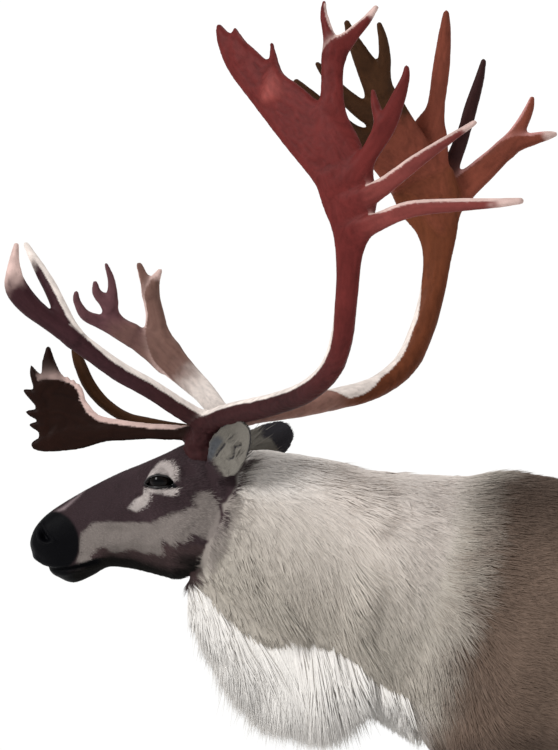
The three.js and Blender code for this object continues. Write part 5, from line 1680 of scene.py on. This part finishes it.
def build_antler(name, side, branches):
    """One antler: beam, palms and tines melted together, ribbed along their length."""
    courses = [course_of(branch, side) for branch in branches]
    low = np.min([(run.centres - run.halves[:, None]).min(0) for run in courses], axis=0) - ANTLER_MARGIN
    high = np.max([(run.centres + run.halves[:, None]).max(0) for run in courses], axis=0) + ANTLER_MARGIN
    lines = [np.arange(a, b, ANTLER_STEP) for a, b in zip(low, high)]
    field = np.full([len(line) for line in lines], ANTLER_MARGIN, np.float32)
    for branch, course in zip(branches, courses):
        part, window = branch_field(course, lines, ANTLER_MARGIN)
        field[window] = melted(field[window], part, branch.blend)
    thing = smooth_object(name, surface_of(field, lines))
    relax(thing, 2, 0.4)
    p, n = from_frame(points_of(thing)), normals_of(thing)

    found = [places_on_branch(p, course) for course in courses]
    distances, alongs, offsets, halves = (np.array(values) for values in zip(*found))
    weights = np.exp(-np.clip(distances - distances.min(0), 0, 60) / ROOT_BLEND)
    weights /= weights.sum(0)
    wide, long = ANTLER_GRAIN
    flow = np.stack([(weights * offsets).sum(0) / wide, p[:, 1] / wide, (weights * alongs).sum(0) / long], 1)
    grain = noise(flow, 2.2, GRAIN_SEED + side) + 0.6 * noise(flow, 1.1, GRAIN_SEED + 2 + side)
    veins = bell(noise(flow * [0.5, 0.5, 0.22], 1.6, VEIN_SEED), 0.10)
    off_burr = np.abs(p[:, 0] - BURR_PLACE[0])
    burr = smooth_step(26 - np.abs(p[:, 2] - BURR_PLACE[1]), 0, 20) * (off_burr < 46)
    knobs = noise(p, 7, BURR_SEED) * (burr + 0.5 * smooth_step(1350 - p[:, 2], 0, 50) * (off_burr < 60))
    p = p + n * (0.4 * grain - 0.35 * veins + 2.6 * np.maximum(knobs, -0.3))[:, None]
    set_points(thing, into_frame(p))
    colour = horn_colour(p, branches, [run.along[-1] for run in courses], weights, alongs, offsets, halves)
    tone = 0.86 + 0.22 * smooth_step(grain, -0.9, 0.8) + 0.10 * noise(p, 60, HORN_TONE_SEED) - 0.12 * veins
    set_colour(thing, "Horn", colour * tone[:, None])
    return thing


def horn_colour(p, branches, lengths, weights, alongs, offsets, halves):
    """Each branch's own colour, its painted highlight strip along one edge, and its tip."""
    colour = np.zeros((len(p), 3))
    wave = noise(p, 16, HORN_EDGE_SEED) + 0.5 * noise(p, 6, HORN_EDGE_SEED + 1)
    for k, branch in enumerate(branches):
        horn = mix(branch.low, branch.high, smooth_step(alongs[k] + 8 * wave, *branch.change))
        # Painted highlight: a pale strip along one edge of the branch
        for edge, width, start, end, pale in branch.strips:
            ends = smooth_step(alongs[k] - start, -5, 40) * smooth_step(end - alongs[k], 0, 110)
            depth = width * ends + 0.9 * wave - (halves[k] - edge * offsets[k])
            horn = mix(horn, pale, smooth_step(depth, -0.8, 1.2) * (ends > 0.02))
        left = lengths[k] - alongs[k]
        worn = smooth_step(branch.tip_length - left + 8 * wave, 0, 0.5 * branch.tip_length + 1)
        colour += weights[k][:, None] * mix(horn, branch.tip, worn)
    return colour


# Hooves. Sections from the sole up: height, scale, and how far back each lies
HOOF_LEVELS = [
    (0.0, 0.97, 0.0), (1.5, 1.0, 0.4), (12, 0.985, 1.5), (24, 0.93, 6), (38, 0.84, 12), (50, 0.75, 19),
    (60, 0.68, 25),
]


def build_claw(name, coronet, lateral):
    """One hoof: flat below, its rounded outer wall bulging more than its inner one, and finely ringed."""
    x_middle, y_mid = (coronet[0] + coronet[2]) / 2, coronet[8]
    levels = np.array(HOOF_LEVELS)
    shares = np.linspace(0, 1, 6, endpoint=False)
    fine = [a + (b - a) * t for a, b in zip(levels[:-1], levels[1:]) for t in shares]
    angle = turns(HOOF_SIDES, 0.5)
    along = -np.cos(angle)
    bulge = np.sin(angle) * np.where(lateral * np.sin(angle) > 0, 1, 0.72)
    slim = np.where(along < 0, 1 - 0.35 * along * along, 1)
    offset = (CLAW_GAP + HOOF_WIDTH) / 2 + HOOF_SPLAY * -along
    rings = []
    for z, scale, back in [*fine, levels[-1]]:
        rib = 1 + 0.008 * math.sin(z * 1.1) * (z > 3)
        x = x_middle - HOOF_FORWARD + back + HOOF_LENGTH / 2 * along * scale * rib
        y = lateral * offset * (0.25 * scale + 0.75) + HOOF_WIDTH / 2 * bulge * slim * scale * rib
        rings.append(np.stack([x, y + y_mid, np.full(HOOF_SIDES, z)], 1))
    return smooth_object(name, loft(rings))


def build_dewclaw(name, fetlock, lateral):
    """A small blunt claw behind the leg, pointing down."""
    x_low, z_low, half, y_mid = fetlock[[2, 3, 4, 8]]
    start = np.array([x_low - 12, y_mid + lateral * half * 0.55, z_low + 4])
    tip = np.array([x_low + 12, y_mid + lateral * half * 0.75, z_low - DEWCLAW_LENGTH])
    way = unit(tip - start)
    flat = unit(np.array([0, 1.0, 0]) - way * way[1])
    across = np.cross(way, flat)
    angle = turns(DEWCLAW_SIDES)
    ring = across[None] * np.cos(angle)[:, None] + flat[None] * np.sin(angle)[:, None]
    rings = []
    for t in np.linspace(0, 1, 15):
        swell = 0.75 + 0.25 * math.sin(min(t / 0.4, 1) * math.pi / 2)
        taper = math.sqrt(max(1 - max((t - 0.4) / 0.62, 0) ** 2, 0.02))
        rings.append(start + (tip - start) * t + ring * (DEWCLAW_RADIUS * swell * taper))
    return smooth_object(name, loft(rings))


# Eyes
def build_eye(name, side):
    """An eyeball with a bulging cornea, a dark iris with fine rays, and a level pupil."""
    angle = turns(EYE_SIDES)
    rings = []
    for polar in np.linspace(0.02, math.pi - 0.02, EYE_STATIONS):
        bulge = 1 + CORNEA_RISE * math.exp(-(polar / CORNEA_REACH) ** 2)
        out = np.full(EYE_SIDES, side * math.cos(polar) * bulge)
        ring = np.stack([math.sin(polar) * np.cos(angle), out, math.sin(polar) * np.sin(angle)], 1)
        rings.append(mirrored(EYE_CENTRE, side) + EYE_RADIUS * ring)
    thing = smooth_object(name, loft(rings))
    a, b, _ = eye_local(from_frame(points_of(thing)))
    iris = np.hypot(a / IRIS_HALF[0], b / IRIS_HALF[1])
    pupil = np.hypot(a / PUPIL_HALF[0], b / PUPIL_HALF[1])
    spokes = np.stack([np.arctan2(b, a) * 14, iris, np.zeros(len(a))], 1)
    rays = 0.8 + 0.35 * noise(spokes, 1.0, RAY_SEED)
    colour = mix(EYE_DARK, IRIS_BROWN * rays[:, None], smooth_step(1 - iris, -0.04, 0.04))
    colour = mix(colour, PUPIL_BLACK, smooth_step(1 - pupil, -0.1, 0.1))
    set_colour(thing, "Iris", colour)
    return thing


def build_lid_rims():
    """The bare rims of the lids, as a rounded edge all round each eye's opening."""
    turn, angle = turns(RIM_STATIONS), turns(RIM_SIDES)
    a = (LID_HALF_LENGTH + 0.8) * np.cos(turn)
    upper, lower = lid_edge(a)
    b = np.where(np.sin(turn) >= 0, upper + 0.3, lower - 0.3)
    out = np.sqrt(np.maximum((EYE_RADIUS + 1.6) ** 2 - a * a - b * b, 60))
    c, s = math.cos(LID_TILT), math.sin(LID_TILT)
    k = np.arange(RIM_STATIONS)[:, None]
    j = np.arange(RIM_SIDES)
    start, following = k * RIM_SIDES, (k + 1) % RIM_STATIONS * RIM_SIDES
    after = (j + 1) % RIM_SIDES
    faces = np.stack([start + j, start + after, following + after, following + j], -1).reshape(-1, 4)
    lofts = []
    for side in (-1, 1):
        centre = mirrored(EYE_CENTRE, side)
        track = centre + np.stack([c * a - s * b, side * out, s * a + c * b], 1)
        way = unit(np.roll(track, -1, 0) - np.roll(track, 1, 0))
        outward = unit(track - centre)
        across = np.cross(way, outward)
        ring = across[:, None] * np.cos(angle)[:, None] + outward[:, None] * np.sin(angle)[:, None]
        lofts.append(((track[:, None] + ring * RIM_RADIUS).reshape(-1, 3), faces[:, ::-1].tolist()))
    return smooth_object("lid_rims", joined(lofts))


# Materials
class Look:
    """A node material: its shader, and the nodes that colour it and make it uneven."""

    def __init__(self, name, **sockets):
        self.made = bpy.data.materials.new(name)
        self.made.use_nodes = True
        self.nodes, self.links = self.made.node_tree.nodes, self.made.node_tree.links
        self.shader = self.nodes["Principled BSDF"]
        for socket, value in sockets.items():
            self.shader.inputs[socket.replace("_", " ")].default_value = value

    def node(self, kind, **inputs):
        made = self.nodes.new("ShaderNode" + kind)
        for socket, value in inputs.items():
            made.inputs[socket.replace("_", " ")].default_value = value
        return made

    def noise(self, scale, detail, stretch=(1, 1, 1)):
        place = self.node("TexCoord")
        mapping = self.node("Mapping", Scale=stretch)
        texture = self.node("TexNoise", Scale=scale, Detail=detail)
        self.links.new(place.outputs["Object"], mapping.inputs["Vector"])
        self.links.new(mapping.outputs["Vector"], texture.inputs["Vector"])
        return texture

    def attribute(self, name):
        node = self.node("Attribute")
        node.attribute_name = name
        return node

    def tint(self, name, texture, low, high):
        """Colours the shader by an attribute, made darker and lighter by a texture."""
        colour = self.attribute(name)
        spread = self.node("MapRange", To_Min=low, To_Max=high)
        self.links.new(texture.outputs["Fac"], spread.inputs["Value"])
        scale = self.node("VectorMath")
        scale.operation = "SCALE"
        self.links.new(colour.outputs["Color"], scale.inputs[0])
        self.links.new(spread.outputs["Result"], scale.inputs["Scale"])
        self.links.new(scale.outputs["Vector"], self.shader.inputs["Base Color"])

    def ramp(self, texture, low, high, start=0.0, end=1.0):
        """Colours the shader between two colours by a texture."""
        ramp = self.node("ValToRGB")
        for element, colour, position in zip(ramp.color_ramp.elements, (low, high), (start, end)):
            element.color = (*colour, 1)
            element.position = position
        self.links.new(texture.outputs["Fac"], ramp.inputs["Fac"])
        self.links.new(ramp.outputs["Color"], self.shader.inputs["Base Color"])

    def bump(self, texture, strength, distance):
        node = self.node("Bump", Strength=strength, Distance=distance)
        self.links.new(texture.outputs["Fac"], node.inputs["Height"])
        self.links.new(node.outputs["Normal"], self.shader.inputs["Normal"])


def coat_material():
    look = Look("coat_hair", Roughness=0.7, Specular_IOR_Level=0.12, Sheen_Weight=0.03, Sheen_Roughness=0.5)
    look.tint("Coat", look.noise(160, 3), 0.9, 1.1)
    return look.made


def skin_material():
    """The skin under the coat, glossier where it is bare."""
    look = Look("coat_under", Roughness=0.8, Specular_IOR_Level=0.05)
    look.tint("Coat", look.noise(420, 4, (1, 1, 0.5)), 0.72, 1.12)
    bare = look.attribute("Bare")
    gloss = look.node("MapRange", To_Min=0.85, To_Max=0.5)
    look.links.new(bare.outputs["Fac"], gloss.inputs["Value"])
    look.links.new(gloss.outputs["Result"], look.shader.inputs["Roughness"])
    look.bump(look.noise(600, 3), 0.5, 0.0012)
    return look.made


def horn_material(name):
    look = Look(name, Roughness=0.5, Specular_IOR_Level=0.07)
    look.tint("Horn", look.noise(90, 6), 0.8, 1.15)
    look.bump(look.noise(380, 5), 0.35, 0.0008)
    return look.made


def hoof_material():
    look = Look("hoof_horn", Roughness=0.42)
    rings = look.noise(30, 5, (0.4, 0.4, 6))
    look.ramp(rings, HOOF_DARK, HOOF_PALE, 0.35, 0.8)
    look.bump(rings, 0.4, 0.0015)
    return look.made


def eye_material():
    look = Look("eye_wet", Roughness=0.06, Specular_IOR_Level=0.06, Coat_Weight=0.1, Coat_Roughness=0.04)
    look.tint("Iris", look.noise(300, 3), 0.85, 1.15)
    return look.made


def rim_material():
    look = Look("lid_skin", Roughness=0.35)
    look.ramp(look.noise(500, 3), RIM_DARK, RIM_PALE)
    return look.made


def dress(thing, made, slot, *replaced):
    """Gives a piece its material and hides the solids it stands for; the slot argument is not used."""
    thing.data.materials.clear()
    thing.data.materials.append(made)
    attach(thing, "root")
    if replaced:
        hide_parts(*replaced)


# Stage
def add_floor():
    turn = turns(FLOOR_SIDES)
    ring = np.stack([FLOOR_RADIUS * np.cos(turn), FLOOR_RADIUS * np.sin(turn), np.zeros(FLOOR_SIDES)], 1)
    floor = new_object("floor", ring, [list(range(FLOOR_SIDES))])
    look = Look("floor_pale", Roughness=0.9, Specular_IOR_Level=0.0)
    look.ramp(look.noise(0.8, 3), FLOOR_LOW, FLOOR_HIGH)
    floor.data.materials.append(look.made)


def add_sun(name, towards, strength, softness):
    """A light from far off; its softness is the width of its disc in degrees."""
    lamp = bpy.data.lights.new(name, "SUN")
    lamp.energy = strength
    lamp.angle = math.radians(softness)
    thing = bpy.data.objects.new(name, lamp)
    bpy.context.scene.collection.objects.link(thing)
    thing.rotation_mode = "QUATERNION"
    thing.rotation_quaternion = Vector(towards).to_track_quat("Z", "Y")


def add_world():
    """A pale studio all round: bright where it is seen, softer where it lights."""
    world = bpy.data.worlds.new("studio")
    world.use_nodes = True
    nodes, links = world.node_tree.nodes, world.node_tree.links
    background = nodes["Background"]
    background.inputs["Color"].default_value = (1.0, 1.0, 1.0, 1)
    rays = nodes.new("ShaderNodeLightPath")
    strength = nodes.new("ShaderNodeMapRange")
    strength.inputs["To Min"].default_value = WORLD_LIGHT
    strength.inputs["To Max"].default_value = WORLD_SEEN
    links.new(rays.outputs["Is Camera Ray"], strength.inputs["Value"])
    links.new(strength.outputs["Result"], background.inputs["Strength"])
    bpy.context.scene.world = world
    bpy.context.scene.view_settings.view_transform = "Standard"


def add_camera():
    back = Vector((math.sin(CAMERA_AZIMUTH) * math.cos(CAMERA_ELEVATION),
                   -math.cos(CAMERA_AZIMUTH) * math.cos(CAMERA_ELEVATION), math.sin(CAMERA_ELEVATION)))
    data = bpy.data.cameras.new("camera")
    data.sensor_width = SENSOR
    data.lens = SENSOR * CAMERA_DISTANCE / (PICTURE_HEIGHT * MM_PER_PIXEL / 1000)
    data.clip_start, data.clip_end = 0.5, 400
    camera = bpy.data.objects.new("camera", data)
    bpy.context.scene.collection.objects.link(camera)
    camera.location = Vector(into_frame(CAMERA_TARGET)) + back * CAMERA_DISTANCE
    camera.rotation_mode = "QUATERNION"
    camera.rotation_quaternion = (-back).to_track_quat("-Z", "Y")
    bpy.context.scene.camera = camera


# Slot of each coat piece, by the part it covers
COAT_SLOTS = {
    "face": "face_coat", "ears": "ear_coat", "neck": "neck_coat", "mane": "neck_coat", "body": "body_coat",
    "leg": "leg_coat", "tail": "tail_coat",
}


def build():
    add_camera()
    add_world()
    add_floor()
    add_sun("key", *KEY_SUN)
    add_sun("rim", *RIM_SUN)

    coat_hair = coat_material()
    skin = build_skin()
    local = from_frame(points_of(skin))
    set_colour(skin, "Coat", markings(local, normals_of(skin)) * UNDERCOAT_TONE)
    set_value(skin, "Bare", bare_share(local))
    flesh = ["head", "neck", "torso", "tail", "ear_left", "ear_right"]
    flesh += [f"leg_{leg}_{part}" for leg in LEGS for part in ("upper", "lower")]
    dress(skin, skin_material(), "body_coat", *flesh)
    for piece in build_coat(skin):
        dress(piece, coat_hair, COAT_SLOTS[piece.name.split("_")[1]])

    left, right = antler_branches()
    for name, side, branches, made in (("left", -1, left, horn_material("antler_red")),
                                       ("right", 1, right, horn_material("antler_brown"))):
        carried = [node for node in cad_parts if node.startswith(f"antler_{name}")]
        dress(build_antler(f"horn_{name}", side, branches), made, f"antler_{name}", *carried)

    hoof = hoof_material()
    for leg, rows in LEGS.items():
        for lateral in (-1, 1):
            place = leg + ("_outer" if lateral * rows[-1][8] > 0 else "_inner")
            dress(build_claw("claw_" + place, rows[-1], lateral), hoof, "hoof", "hoof_" + place)
            dress(build_dewclaw("spur_" + place, rows[-3], lateral), hoof, "hoof", "dewclaw_" + place)
    wet = eye_material()
    dress(build_eye("eyeball_left", -1), wet, "eye", "eye_left")
    dress(build_eye("eyeball_right", 1), wet, "eye", "eye_right")
    dress(build_lid_rims(), rim_material(), "face_coat")


build()
